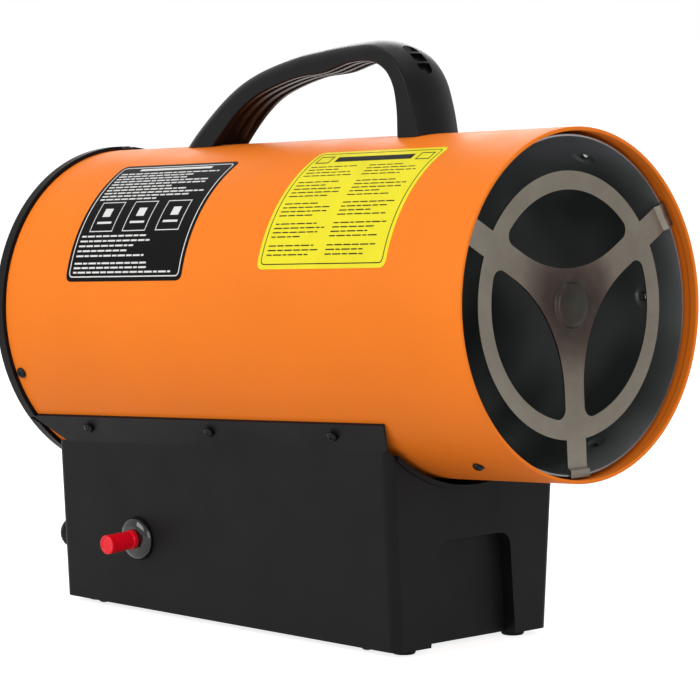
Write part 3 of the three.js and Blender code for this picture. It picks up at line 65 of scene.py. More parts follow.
# Shell
SHELL_RADIUS = 100.0
SHELL_WALL = 1.2
HEM_WIDTH = 5.0
HEM_THICKNESS = 1.1
SHELL_SIDES = 288
PIPE_HOLE_RADIUS = 5.0
PIPE_HOLE_REACH = 6.0

# Base housing
AXIS_HEIGHT = 188.2
BASE_FRONT = 110.3
BASE_REAR = 182.1
BASE_HALF_WIDTH = 63.8
BASE_DRAFT = math.radians(3.5)
BASE_WALL = 1.8
BASE_CORNER = 6.0
CORNER_STEPS = 8
SADDLE_RADIUS = 105.0
SADDLE_LIP_HEIGHT = 1.8
SADDLE_LIP_REACH = 1.2
SHELF_WIDTH = 9.0
SHELF_HEIGHT = 2.5
PLATE_TOP = 2.2

# Flanges
FLANGE_ANGLE = 38.0
FLANGE_THICKNESS = 1.8
FLANGE_FRONT = 112.0
FLANGE_REAR = 198.0

# Recess in the front wall
RECESS_HEIGHT = 61.0
RECESS_HALF_WIDTH_BOTTOM = 35.5
RECESS_HALF_WIDTH_TOP = 30.0
RECESS_CORNER = 9.0
RECESS_DEPTH = 9.0

# Handle: x and z of the centre line on the tube, thickness, half width
HANDLE_STATIONS = [
    (-114, 88, 18, 15), (-102, 100, 17, 15), (-75, 122.2, 13.3, 14.5), (-54.7, 133, 11.3, 14),
    (-18.8, 142.2, 10.3, 14), (5, 144.5, 11.2, 14), (30, 148, 8, 14.5), (50, 147.6, 8.2, 15.5),
    (64.3, 141.4, 9.8, 16.5), (72.8, 130.5, 11, 17.5), (76.7, 115.5, 12.8, 18), (78, 100, 15.8, 18),
    (78.5, 88, 17, 18),
]
HANDLE_STEPS = 150
HANDLE_CROWN = 4.0
HANDLE_EDGE = 2.0
HANDLE_SOFT_BROW = 4.6
HANDLE_CRISP_BROW = 0.8
BROW_START = 0.52
BROW_END = 0.68
CROWN_STEPS = 28
GROOVE_COUNT = 3
GROOVE_WIDTH = 4.5
GROOVE_DEPTH = 1.6
GROOVE_STEPS = 8
GROOVE_START = 0.1
GROOVE_END = 0.62
VENT_PLACE = 0.69
VENT_LENGTH = 25.0
VENT_WIDTH = 10.0
VENT_DEPTH = 3.2
VENT_BARS = 2
VENT_BAR_WIDTH = 1.4

# Combustion chamber and guard
CHAMBER_RADIUS = 96.0
CHAMBER_WALL = 1.0
CHAMBER_INSET = 8.7
CHAMBER_LENGTH = 196.0
CONE_LENGTH = 25.0
CHAMBER_SIDES = 480
CHAMBER_REAR_RADIUS = 70.0
CHAMBER_LIP = 14.0
DIMPLE_COUNT = 6
DIMPLE_INSET = 38.4
DIMPLE_RADIUS = 7.0
DIMPLE_DEPTH = 1.4
RIVET_RADIUS = 2.7
RIVET_HEIGHT = 1.6
RIVET_SINK = 0.4
GUARD_INSET = 9.5
GUARD_THICKNESS = 1.2
GUARD_RING_OUTER = 75.7
GUARD_RING_INNER = 65.0
GUARD_SPOKE = 16.0
GUARD_HUB = 21.0
GUARD_CORNER = 6.0
GUARD_BEND = 90.5
GUARD_LUG = 2.3
GUARD_REACH = 96.85
DOME_RADIUS = 13.2
DOME_HEIGHT = 3.0
DOME_FOOT = 14.0

# Burner
BURNER_PLATE = 1.5
BURNER_HOLES = 6
BURNER_HOLE_RADIUS = 6.0
BURNER_HOLE_CIRCLE = 42.0
NECK_RADIUS = 17.0
NECK_LENGTH = 18.0
MOUTH_RADIUS = 46.0
CUP_CONE = 34.0
CUP_WALL = 1.2
CUP_RIM = 4.0
CUP_HOLES = 6
CUP_HOLE_RADIUS = 3.2
JET_RADIUS = 6.0
ROD_OFFSET = 27.0
ROD_RADIUS = 1.6

# Fan
FAN_RADIUS = 84.0
FAN_HUB_RADIUS = 21.0
FAN_HUB_LENGTH = 20.0
FAN_WALL = 2.0
FAN_BLADES = 5
BLADE_THICKNESS = 1.8
BLADE_CAMBER = 0.07
BLADE_STATIONS = 26
BLADE_STEPS = 20
ROOT_CHORD = 34.0
TIP_CHORD = 62.0
ROOT_PITCH = 38.0
TIP_PITCH = 20.0
SHAFT_RADIUS = 3.0

# Rear grille
GRILLE_RIM = 102.5
GRILLE_DEPTH = 7.4
SPIGOT_WALL = 3.3
SPIGOT_LENGTH = 13.0
GRILLE_RINGS = 5
GRILLE_RING_WIDTH = 2.4
GRILLE_SPOKES = 4
GRILLE_SPOKE_WIDTH = 3.2
GRILLE_SPOKE_DEPTH = 4.4
GRILLE_HUB = 15.0
NOTCH_MIDDLE = -70.0
NOTCH_OVERRUN = 3.0
NOTCH_FIT = 0.6

# Screws
SCREW_RADIUS = 1.6
SCREW_HEAD = 3.4
SCREW_HEIGHT = 2.2
SCREW_STUB = 4.0
SLOT_REACH = 0.52 * SCREW_HEAD
SLOT_HALF_WIDTH = 0.42
SLOT_DEPTH = 1.2

# Feet and gas button
FOOT_HEIGHT = 3.5
FOOT_CUP = 0.7
FOOT_STEM = 2.4
COLLAR_RADIUS = 13.4
COLLAR_SEAT = 8.3
COLLAR_BORE = 6.1
BUTTON_RADIUS = 6.0
BUTTON_STEM = 3.0

# Fittings in the walls: radii in the wall, and lengths and rims outside it
GLAND_RADIUS = 7.78
GLAND_LENGTH = 14.0
GLAND_HEXAGON = 10.8
GLAND_BORE = 4.2
GLAND_CAP = 9.9
GLAND_MOUTH = 7.6
FLUTE_COUNT = 24
FLUTE_DEPTH = 0.55
FLUTE_FLOOR = 8.6
INLET_RADIUS = 6.5
INLET_LENGTH = 22.0
INLET_HEXAGON = 10.4
INLET_BORE = 1.6
BARB_COUNT = 3
BARB_PITCH = 5.0
BARB_ROOT = 4.0
BARB_TOP = 5.55
TAIL_RADIUS = 3.6
IGNITER_RADIUS = 7.4
IGNITER_RIM = 2.5
IGNITER_FLANGE = 9.9
IGNITER_BORE = 5.7
IGNITER_CAP = 5.4
IGNITER_WELL = 9.8
VALVE_NECK_RADIUS = 8.0
SWITCH_WIDTH = 13.0
SWITCH_HEIGHT = 21.0
SWITCH_RIM = 1.8
ROCKER_HALF_WIDTH = 4.7
ROCKER_HALF_HEIGHT = 8.4
ROCKER_FACE = 2.4
ROCKER_BACK = -1.5
ROCKER_EDGE = 1.2
ROCKER_TILT = 10.0
MARK_LOW = -0.1
MARK_HIGH = 0.06
HOLE_REACH = 6.0

# Labels on the shell: two places along the tube and two angles from +Y each
BLACK_LABEL = (-138.0, -33.0, 117.1, 167.9)
YELLOW_LABEL = (31.0, 135.0, 113.6, 164.6)
LABEL_CORNER = 5.0
LABEL_MARGIN = 6.0
LABEL_LINE = 0.6
LABEL_GAP = 0.04
LABEL_THICKNESS = 0.15
PRINT_SINK = 0.02
PRINT_THICKNESS = 0.05
SHEET_HIGH = LABEL_GAP + LABEL_THICKNESS
BOX_WIDTH = 21.0
BOX_HEIGHT = 21.5
BOX_PITCH = 30.0

# Looks and studio, with the floor's reach and all places in metres
COAT_ROUGHNESS = 0.08
SHARP_ANGLE = 48.0
WHITE = (1, 1, 1, 1)
FLOOR_GREY = (0.62, 0.62, 0.62, 1)
FLOOR_GLOW = 0.82
FLOOR_REACH = 30.0
WORLD_LIGHT = 0.44
LAMP_TARGET = (0.0, 0.0, 0.17)
CAMERA_LENS = 181.1
CAMERA_PLACE = (1.5055, -1.4672, 0.3657)
CAMERA_ANGLES = (84.55, 0.0, 45.52)

# ---- frames of the tube, the base and the fittings

JOINTS = {joint["name"]: joint for joint in frame["joints"]}
FAN_JOINT = JOINTS["fan_spin"]
OUT_OF_VALVE = -Vector(JOINTS["valve_press"]["axis"])
REARWARD = (-1, 0, 0)
DOWNWARD = (0, 0, -1)


def shift(x, y=0, z=0):
    return Matrix.Translation((x, y, z))


def turn(degrees, axis="X"):
    return Matrix.Rotation(math.radians(degrees), 4, axis)


def axis_matrix(direction, origin):
    """Millimetres to the row frame: X runs along a direction, and Y stays as level as it can."""
    x = Vector(direction).normalized()
    level = Vector((0, 1, 0)) if abs(x.y) < 0.9 else Vector((1, 0, 0))
    z = x.cross(level).normalized()
    axes = Matrix((x, z.cross(x), z)).transposed().to_4x4()
    return Matrix.Translation(origin) @ axes @ Matrix.Scale(MM, 4)


def in_frame(node, place):
    """A CAD node's points in the millimetres of a frame."""
    back = place.inverted()
    return [back @ v.co for v in frame["nodes"][node].data.vertices]


def span(points, axis=0):
    """Lowest and highest of some points along an axis."""
    values = [p[axis] for p in points]
    return min(values), max(values)


def tube_matrix():
    """The shell's frame, with X along its axis from its middle, and half of its length."""
    rough = axis_matrix(FAN_JOINT["axis"], Vector(FAN_JOINT["pos_m"]))
    rear, front = span(in_frame("outer_shell", rough))
    return rough @ shift((rear + front) / 2), (front - rear) / 2


def fitting(node, direction):
    """A frame on the axis of a round CAD piece that points along a direction, and its span along it."""
    rough = axis_matrix(direction, Vector((0, 0, 0)))
    points = in_frame(node, rough)
    place = rough @ shift(*[sum(span(points, axis)) / 2 for axis in range(3)])
    return place, *span(in_frame(node, place))


TUBE, SHELL_FRONT = tube_matrix()
SHELL_REAR = -SHELL_FRONT
SHELL_INNER = SHELL_RADIUS - SHELL_WALL
NOSE_UP = math.atan2(FAN_JOINT["axis"][2], FAN_JOINT["axis"][0])

BASE_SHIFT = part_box("base_plate")[0].x + (BASE_REAR - BASE_WALL - FIT) * MM
BASE = shift(BASE_SHIFT, 0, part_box("base_housing")[0].z) @ Matrix.Scale(MM, 4)

CHAMBER_FRONT = SHELL_FRONT - CHAMBER_INSET
CHAMBER_CONE = CHAMBER_FRONT - CHAMBER_LENGTH
CHAMBER_REAR = CHAMBER_CONE - CONE_LENGTH
PLATE_FRONT = CHAMBER_REAR - FIT
PLATE_REAR = PLATE_FRONT - BURNER_PLATE
DIMPLE_X = SHELL_FRONT - DIMPLE_INSET
GUARD_X = SHELL_FRONT - GUARD_INSET
GRILLE_FRONT = SHELL_REAR - FIT
GRILLE_REAR = GRILLE_FRONT - GRILLE_DEPTH
SPIGOT_OUTER = SHELL_INNER - FIT
SPIGOT_INNER = SPIGOT_OUTER - SPIGOT_WALL


# ---- mesh tools

def smooth_step(value):
    value = min(1.0, max(0.0, value))
    return value * value * (3 - 2 * value)


def rectangle(x0, x1, y0, y1):
    return [(x0, y0), (x1, y0), (x1, y1), (x0, y1)]


def round_corners(points, radii, steps):
    """A closed outline with its corners rounded; a radius of 0 keeps a corner."""
    out = []
    for i, radius in enumerate(radii):
        here = Vector(points[i])
        if radius == 0:
            out.append(tuple(here))
            continue
        back = Vector(points[i - 1]) - here
        ahead = Vector(points[(i + 1) % len(points)]) - here
        reach = min(radius, 0.49 * back.length, 0.49 * ahead.length)
        first = here + back.normalized() * reach
        last = here + ahead.normalized() * reach
        for step in range(steps + 1):
            t = step / steps
            out.append(tuple(first * (1 - t) ** 2 + here * (2 * t * (1 - t)) + last * t ** 2))
    return out


def lathe(profile, sides, radius_at=None):
    """A body of revolution about X; profile points are (radius, x), and the last joins the first."""
    verts, faces, rings = [], [], []
    for radius, x in profile:
        if radius < 1e-6:
            rings.append([len(verts)])
            verts.append((x, 0, 0))
            continue
        ring = []
        for i in range(sides):
            angle = 2 * math.pi * i / sides
            r = radius_at(radius, x, angle) if radius_at else radius
            ring.append(len(verts))
            verts.append((x, r * math.cos(angle), r * math.sin(angle)))
        rings.append(ring)
    for a, b in zip(rings, rings[1:] + rings[:1]):
        for i in range(sides):
            j = (i + 1) % sides
            corners = [a[i % len(a)], a[j % len(a)], b[j % len(b)], b[i % len(b)]]
            face = list(dict.fromkeys(corners))
            if len(face) > 2:
                faces.append(face)
    return verts, faces


def spun(points, sides, steps, radius_at=None):
    """A body of revolution with round edges; points are (radius, x) or (radius, x, rounding)."""
    radii = [p[2] if len(p) > 2 else 0 for p in points]
    return lathe(round_corners([p[:2] for p in points], radii, steps), sides, radius_at)


def rod(radius, low, high, sides):
    return lathe([(0, low), (radius, low), (radius, high), (0, high)], sides)


def loft(rings):
    """A closed skin through rings that have the same number of points."""
    count = len(rings[0])
    verts = [p for ring in rings for p in ring]
    faces = []
    for k in range(len(rings) - 1):
        for i in range(count):
            j = (i + 1) % count
            faces.append([k * count + i, k * count + j, (k + 1) * count + j, (k + 1) * count + i])
    faces.append(list(range(count))[::-1])
    faces.append([(len(rings) - 1) * count + i for i in range(count)])
    return verts, faces


def prism(outline, start, end):
    """An outline in y and z, made solid from one x to another."""
    return loft([[(x, y, z) for y, z in outline] for x in (start, end)])


def box(low, high):
    return prism(rectangle(low[1], high[1], low[2], high[2]), low[0], high[0])


def plate(loops, inner_points, front, rear):
    """A sheet between two mappings of a flat region; the first loop is its outline, the others are holes."""
    coords, edges = [], []
    for loop in loops:
        start = len(coords)
        coords += [Vector(p) for p in loop]
        edges += [(start + i, start + (i + 1) % len(loop)) for i in range(len(loop))]
    coords += [Vector(p) for p in inner_points]
    points, _, triangles, *_ = delaunay_2d_cdt(coords, edges, [], 0, 1e-5)

    def covered(p):
        inside = False
        for loop in loops:
            for (ax, ay), (bx, by) in zip(loop, loop[1:] + loop[:1]):
                if (ay > p.y) != (by > p.y) and p.x < (bx - ax) * (p.y - ay) / (by - ay) + ax:
                    inside = not inside
        return inside

    kept = [t for t in triangles if covered(sum((points[i] for i in t), Vector((0, 0))) / 3)]
    used = sorted({i for t in kept for i in t})
    number = {old: new for new, old in enumerate(used)}
    count = len(used)
    verts = [front(points[i]) for i in used] + [rear(points[i]) for i in used]
    faces, sides = [], {}
    for triangle in kept:
        a, b, c = (number[i] for i in triangle)
        faces += [[a, b, c], [c + count, b + count, a + count]]
        sides.update(dict.fromkeys(((a, b), (b, c), (c, a))))
    faces += [[b, a, a + count, b + count] for a, b in sides if (b, a) not in sides]
    return verts, faces


def moved(part, matrix):
    return [tuple(matrix @ Vector(v)) for v in part[0]], part[1]


def copies_round_x(part, count, start=0.0):
    """Copies of a part, turned about X in equal steps."""
    return [moved(part, turn(start + 360 * i / count)) for i in range(count)]


def add_object(name, data):
    made = bpy.data.objects.new(name, data)
    bpy.context.scene.collection.objects.link(made)
    return made


def make(name, parts, place=TUBE):
    """One object from a list of parts in a frame's millimetres."""
    verts, faces = [], []
    for part_verts, part_faces in parts:
        start = len(verts)
        verts += [place @ Vector(v) for v in part_verts]
        faces += [[start + i for i in face] for face in part_faces]
    mesh = bpy.data.meshes.new(name)
    mesh.from_pydata(verts, [], faces)
    work = bmesh.new()
    work.from_mesh(mesh)
    bmesh.ops.remove_doubles(work, verts=work.verts, dist=1e-7)
    bmesh.ops.recalc_face_normals(work, faces=work.faces)
    work.to_mesh(mesh)
    work.free()
    return add_object(name, mesh)


def apply_modifiers(piece):
    graph = bpy.context.evaluated_depsgraph_get()
    graph.update()
    mesh = bpy.data.meshes.new_from_object(piece.evaluated_get(graph))
    piece.modifiers.clear()
    piece.data = mesh


def combine(piece, tools, operation):
    """Applies a boolean operation of a piece with each of some other objects, which it uses up."""
    for tool in tools:
        modifier = piece.modifiers.new(operation, "BOOLEAN")
        modifier.operation = operation
        modifier.solver = "EXACT"
        modifier.object = tool
        apply_modifiers(piece)
        bpy.data.objects.remove(tool)
    return piece


def cut(piece, *tools):
    return combine(piece, tools, "DIFFERENCE")


def join(piece, *tools):
    return combine(piece, tools, "UNION")


def add_bevel(piece, width, segments, angle):
    """A modifier that rounds the edges that are sharper than an angle."""
    modifier = piece.modifiers.new("bevel", "BEVEL")
    modifier.width = width * MM
    modifier.segments = segments
    modifier.limit_method = "ANGLE"
    modifier.angle_limit = math.radians(angle)
    return modifier


def bevel(piece, width, segments, angle):
    add_bevel(piece, width, segments, angle).miter_outer = "MITER_ARC"
    apply_modifiers(piece)


def shade(piece, angle):
    """Smooth shading that breaks where faces meet at more than an angle."""
    work = bmesh.new()
    work.from_mesh(piece.data)
    for face in work.faces:
        face.smooth = True
    for edge in work.edges:
        edge.smooth = edge.calc_face_angle(0.0) < math.radians(angle)
    work.to_mesh(piece.data)
    work.free()
    piece.modifiers.new("weights", "WEIGHTED_NORMAL").keep_sharp = True
    apply_modifiers(piece)


def paint(piece, material):
    piece.data.materials.clear()
    piece.data.materials.append(material)


def dress(piece, material, nodes=(), body="root", angle=32):
    """Gives a piece its shading and material, the body it rides on and the CAD nodes it stands for."""
    shade(piece, angle)
    paint(piece, material)
    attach(piece, body)
    if nodes:
        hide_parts(*nodes)


# ---- material tools

def srgb(red, green, blue):
    """A colour as it shows on a screen, 0 to 255, as linear values."""
    values = []
    for value in (red, green, blue):
        share = value / 255
        values.append(share / 12.92 if share <= 0.04045 else ((share + 0.055) / 1.055) ** 2.4)
    return (*values, 1.0)


def add_node(tree, kind, inputs=None, **settings):
    """A node with its settings, whose inputs are linked to sockets or set to values."""
    made = tree.nodes.new(kind)
    for key, value in settings.items():
        setattr(made, key, value)
    for key, value in (inputs or {}).items():
        if isinstance(value, bpy.types.NodeSocket):
            tree.links.new(value, made.inputs[key])
        else:
            made.inputs[key].default_value = value
    return made


def add_math(tree, operation, first, second):
    return add_node(tree, "ShaderNodeMath", {0: first, 1: second}, operation=operation).outputs[0]


class Finish:
    """A principled material whose colour, roughness and relief come from procedural nodes."""

    def __init__(self, name, colour, roughness, metallic=0.0, specular=0.5, coat=0.0):
        self.material = bpy.data.materials.new(name)
        self.material.use_nodes = True
        self.tree = self.material.node_tree
        self.shader = self.tree.nodes["Principled BSDF"]
        self.colour = colour
        for key, value in (("Base Color", colour), ("Roughness", roughness), ("Metallic", metallic),
                           ("Specular IOR Level", specular), ("Coat Weight", coat),
                           ("Coat Roughness", COAT_ROUGHNESS)):
            self.shader.inputs[key].default_value = value
        self.coordinates = self.node("ShaderNodeTexCoord").outputs["Object"]

    def node(self, kind, inputs=None, **settings):
        return add_node(self.tree, kind, inputs, **settings)

    def link(self, socket, name):
        self.tree.links.new(socket, self.shader.inputs[name])

    def noise(self, scale, detail, roughness=0.55, stretch=None):
        """Noise in 0 to 1; scale is in features per metre, and stretch scales its axes."""
        vector = self.coordinates
        if stretch:
            vector = self.node("ShaderNodeMapping", {"Vector": vector, "Scale": stretch}).outputs["Vector"]
        return self.node("ShaderNodeTexNoise", {
            "Vector": vector, "Scale": scale, "Detail": detail, "Roughness": roughness}).outputs["Fac"]

    def ramp(self, value, stops):
        """Colours along a value; stops are (place, colour)."""
        made = self.node("ShaderNodeValToRGB", {"Fac": value})
        points = made.color_ramp.elements
        while len(points) < len(stops):
            points.new(0.5)
        for point, (place, colour) in zip(points, stops):
            point.position = place
            point.color = colour
        return made.outputs["Color"]

    def spread(self, value, low, high):
        """Maps a noise's middle range to numbers."""
        inputs = {"Value": value, "From Min": 0.3, "From Max": 0.7, "To Min": low, "To Max": high}
        return self.node("ShaderNodeMapRange", inputs).outputs["Result"]

    def shades(self, value, dark, light):
        """Two shades of the base colour along a value, from dark times to light times it."""
        first, second = [(*[c * share for c in self.colour[:3]], 1.0) for share in (dark, light)]
        return self.ramp(value, [(0.3, first), (0.7, second)])

    def look(self, colour, roughness, *bumps):
        """Links a colour, a roughness and stacked bumps, each (height, strength, distance in millimetres)."""
        self.link(colour, "Base Color")
        if roughness is not None:
            self.link(roughness, "Roughness")
        normal = None
        for height, strength, distance in bumps:
            inputs = {"Height": height, "Strength": strength, "Distance": distance * MM}
            if normal is not None:
                inputs["Normal"] = normal
            normal = self.node("ShaderNodeBump", inputs).outputs["Normal"]
        self.link(normal, "Normal")
        return self.material


def powder_coat(name, colour, roughness, peel, specular):
    """Baked paint: an even colour with a fine orange peel, a few dull patches and faint dust specks."""
    finish = Finish(name, colour, roughness, 0.0, specular)
    return finish.look(
        finish.shades(finish.noise(9.0, 3.0), 0.95, 1.04),
        finish.spread(finish.noise(35.0, 5.0), roughness * 0.88, roughness * 1.14),
        (finish.noise(420.0, 2.0, 0.4), peel, 0.05), (finish.noise(2600.0, 2.0), peel * 0.5, 0.012))


def moulded(name, colour, roughness, grain, specular=0.5):
    """Moulded plastic with a fine spark-eroded grain and slightly worn, smoother patches."""
    finish = Finish(name, colour, roughness, 0.0, specular)
    wear = finish.noise(14.0, 5.0)
    return finish.look(
        finish.shades(wear, 0.88, 1.14), finish.spread(wear, roughness * 1.12, roughness * 0.86),
        (finish.noise(1700.0, 3.0, 0.6), grain, 0.03), (finish.noise(90.0, 2.0), grain * 0.3, 0.05))


def metal(name, colour, roughness, stretch, streak):
    """Bare metal with drawn or turned marks and a little tarnish."""
    finish = Finish(name, colour, roughness, 1.0)
    marks = finish.noise(900.0, 3.0, 0.6, stretch)
    return finish.look(
        finish.shades(finish.noise(40.0, 5.0, 0.6), 0.88, 1.12),
        finish.spread(marks, roughness * 0.8, roughness * 1.25), (marks, streak, 0.02))


def heated_steel():
    """Stamped steel that the flame has tinted: bright at its rim and brown and dull towards its hub."""
    finish = Finish("heated_steel", srgb(168, 162, 150), 0.38, 1.0)
    centre = TUBE @ Vector((GUARD_X, 0, 0))
    offset = finish.node("ShaderNodeVectorMath", {0: finish.coordinates, 1: centre}, operation="SUBTRACT")
    radius = finish.node("ShaderNodeVectorMath", {0: offset.outputs["Vector"]}, operation="LENGTH")
    wobble = finish.spread(finish.noise(28.0, 4.0, 0.6), -0.004, 0.004)
    tinted = add_math(finish.tree, "ADD", radius.outputs["Value"], wobble)
    share = add_math(finish.tree, "MULTIPLY", tinted, 1 / (SHELL_RADIUS * MM))
    tint = finish.ramp(share, [
        (0.0, srgb(46, 48, 42)), (0.13, srgb(41, 39, 36)), (0.2, srgb(54, 43, 41)), (0.3, srgb(75, 64, 59)),
        (0.42, srgb(109, 101, 91)), (0.62, srgb(117, 111, 101)), (1.0, srgb(128, 123, 113))])
    stain = finish.spread(finish.noise(55.0, 5.0, 0.65), 0.0, 0.35)
    inputs = {"Factor": stain, "A": tint, "B": srgb(84, 77, 70)}
    mixed = finish.node("ShaderNodeMix", inputs, data_type="RGBA")
    brushed = finish.noise(700.0, 3.0, 0.6, (1.0, 0.12, 1.0))
    return finish.look(mixed.outputs["Result"], finish.spread(brushed, 0.3, 0.46), (brushed, 0.25, 0.015))


def chamber_enamel():
    """The can's dark heat-proof skin, with a soft sheen, and large light patches in its colour that are
    painted soft reflections.
    """
    finish = Finish("chamber_enamel", srgb(120, 125, 125), 0.34, 0.55, 0.5, 0.3)
    # Painted reflection: big light and dark patches in the colour stand in for soft reflections of light
    # inside the can.
    painted_reflection_patches = finish.ramp(finish.noise(9.0, 2.0, 0.5), [
        (0.34, srgb(84, 89, 88)), (0.5, srgb(136, 141, 141)), (0.66, srgb(180, 182, 188))])
    return finish.look(
        painted_reflection_patches, finish.spread(finish.noise(30.0, 3.0), 0.3, 0.4),
        (finish.noise(7.0, 0.0), 0.12, 0.5), (finish.noise(650.0, 2.0), 0.05, 0.01))


def vinyl(name, colour):
    """A printed vinyl sheet with a faint lay of fibres."""
    finish = Finish(name, colour, 0.42, 0.0, 0.05)
    fibres = finish.shades(finish.noise(60.0, 4.0), 0.96, 1.03)
    return finish.look(fibres, None, (finish.noise(900.0, 2.0), 0.12, 0.02))


ORANGE = powder_coat("orange_paint", srgb(244, 127, 36), 0.46, 0.16, 0.09)
BLACK_PAINT = powder_coat("black_paint", srgb(18, 18, 20), 0.5, 0.3, 0.1)
HANDLE_PLASTIC = moulded("handle_plastic", srgb(16, 16, 17), 0.34, 0.2, 0.12)
GRILLE_PLASTIC = moulded("grille_plastic", srgb(15, 14, 15), 0.46, 0.3, 0.1)
GLOSS_BLACK = moulded("gloss_black_plastic", srgb(16, 16, 17), 0.1, 0.04)
FAN_PLASTIC = moulded("fan_plastic", srgb(50, 52, 55), 0.45, 0.25)
RED_PLASTIC = moulded("red_plastic", srgb(228, 10, 34), 0.26, 0.06, 0.24)
RUBBER = moulded("rubber", srgb(18, 18, 18), 0.85, 0.5, 0.2)
CERAMIC = moulded("white_ceramic", srgb(230, 226, 214), 0.55, 0.2)
BLACK_SCREW = metal("black_screw", srgb(34, 34, 36), 0.38, (1, 1, 1), 0.2)
ZINC = metal("zinc_steel", srgb(176, 179, 182), 0.36, (1, 1, 1), 0.2)
RIVET_STEEL = metal("rivet_steel", srgb(196, 198, 200), 0.18, (1, 1, 1), 0.1)
MOTOR_STEEL = metal("motor_steel", srgb(112, 115, 118), 0.46, (1, 0.2, 1), 0.3)
BRASS = metal("turned_brass", srgb(196, 160, 84), 0.3, (6, 0.4, 0.4), 0.25)
COPPER = metal("drawn_copper", srgb(190, 120, 84), 0.32, (1, 1, 0.2), 0.2)
HEATED_STEEL = heated_steel()
CHAMBER_ENAMEL = chamber_enamel()
BLACK_VINYL = vinyl("black_vinyl", srgb(7, 7, 8))
YELLOW_VINYL = vinyl("yellow_vinyl", srgb(234, 222, 50))
WHITE_PRINT = vinyl("white_print", srgb(222, 222, 220))
BLACK_PRINT = vinyl("black_print", srgb(30, 30, 28))


# ---- shell

def outer_shell():
    """A rolled tube with a rounded hem at its front edge and a hole for the gas pipe."""
    hem_inner, hem_rear = SHELL_INNER - HEM_THICKNESS, SHELL_FRONT - HEM_WIDTH
    shell = make("shell_sheet", [spun([
        (SHELL_INNER, SHELL_REAR, 0.25), (SHELL_RADIUS, SHELL_REAR, 0.25), (SHELL_RADIUS, SHELL_FRONT, 1.1),
        (hem_inner, SHELL_FRONT, 1.1), (hem_inner, hem_rear, 0.4), (SHELL_INNER, hem_rear, 0.2)],
        SHELL_SIDES, 5)])
    low, high = SHELL_RADIUS - PIPE_HOLE_REACH, SHELL_RADIUS + PIPE_HOLE_REACH
    crossing = [p.x for p in in_frame("gas_pipe", TUBE) if low - PIPE_HOLE_REACH < -p.z < high]
    hole = moved(rod(PIPE_HOLE_RADIUS, low, high, 32), shift(sum(crossing) / len(crossing)) @ turn(90, "Y"))
    cut(shell, make("pipe_hole", [hole]))
    dress(shell, ORANGE, ["outer_shell"])


# ---- base housing

def half_width_at(z):
    return BASE_HALF_WIDTH + z * math.tan(BASE_DRAFT)


def rounded_rectangle(x0, x1, half, corner):
    corners = [(x1, half, -1, -1), (x0, half, 1, -1), (x0, -half, 1, 1), (x1, -half, -1, 1)]
    points = []
    for quarter, (x, y, sx, sy) in enumerate(corners):
        for step in range(CORNER_STEPS + 1):
            angle = math.pi / 2 * (quarter + step / CORNER_STEPS)
            points.append((x + corner * (sx + math.cos(angle)), y + corner * (sy + math.sin(angle))))
    return points


def base_block(inset, low, high):
    """A block that follows the base's tapered sides, drawn in from them by an inset."""
    corner = max(BASE_CORNER - inset, 1.0)
    rings = []
    for z in (low, high):
        outline = rounded_rectangle(-BASE_REAR + inset, BASE_FRONT - inset, half_width_at(z) - inset, corner)
        rings.append([(x, y, z) for x, y in outline])
    return loft(rings)


def recess_block(margin, start, end):
    """The recess in the front wall, widened by a margin, from one x to another."""
    top, corner = RECESS_HEIGHT + margin, RECESS_CORNER + margin
    low, high = RECESS_HALF_WIDTH_BOTTOM + margin, RECESS_HALF_WIDTH_TOP + margin
    outline = [(-low, -OVERRUN), (low, -OVERRUN), (high, top), (-high, top)]
    return prism(round_corners(outline, [0, 0, corner, corner], 10), start, end)


def wall_top(x):
    """Half width of the side wall under the tube at an x along the tube, and its depth below the axis."""
    half = BASE_HALF_WIDTH
    for _ in range(8):
        depth = math.sqrt(SADDLE_RADIUS ** 2 - half ** 2)
        half = half_width_at(AXIS_HEIGHT + x * math.tan(NOSE_UP) - depth)
    return half, depth


def flange(side):
    """One flange, from the side wall up to the shell, in the tube's frame."""
    angle = math.radians(-FLANGE_ANGLE)
    inner_radius = SHELL_RADIUS + FIT
    rings = []
    for top_x, x in ((-FLANGE_REAR, -BASE_REAR + BASE_CORNER), (FLANGE_FRONT, BASE_FRONT - BASE_CORNER)):
        half, depth = wall_top(x)
        ring = [(top_x, side * radius * math.cos(angle), radius * math.sin(angle))
                for radius in (inner_radius, inner_radius + FLANGE_THICKNESS)]
        rings.append([*ring, (x, side * half, -depth - OVERRUN),
                      (x, side * (half - BASE_WALL), -depth - 2 * OVERRUN)])
    return loft(rings)


def long_tube(outer, inner=0):
    """A long rod on the tube's axis, or a pipe where an inner radius is given."""
    reach = 2 * SHELL_FRONT
    return lathe([(inner, -reach), (outer, -reach), (outer, reach), (inner, reach)], SHELL_SIDES)


def wall_holes():
    """Cutters for the holes of the fittings in the base's walls."""
    holes = []
    for node, direction, radius in (
            ("cable_gland", REARWARD, GLAND_RADIUS), ("gas_inlet", REARWARD, INLET_RADIUS),
            ("igniter_body", REARWARD, IGNITER_RADIUS), ("valve_collar", OUT_OF_VALVE, VALVE_NECK_RADIUS)):
        place, low, high = fitting(node, direction)
        holes.append(make("hole", [rod(radius + FIT, low - HOLE_REACH, high, 64)], place))
    place, low, high = fitting("switch_frame", REARWARD)
    width, height = SWITCH_WIDTH / 2 + FIT, SWITCH_HEIGHT / 2 + FIT
    return holes + [make("hole", [box((low, -width, -height), (high, width, height))], place)]


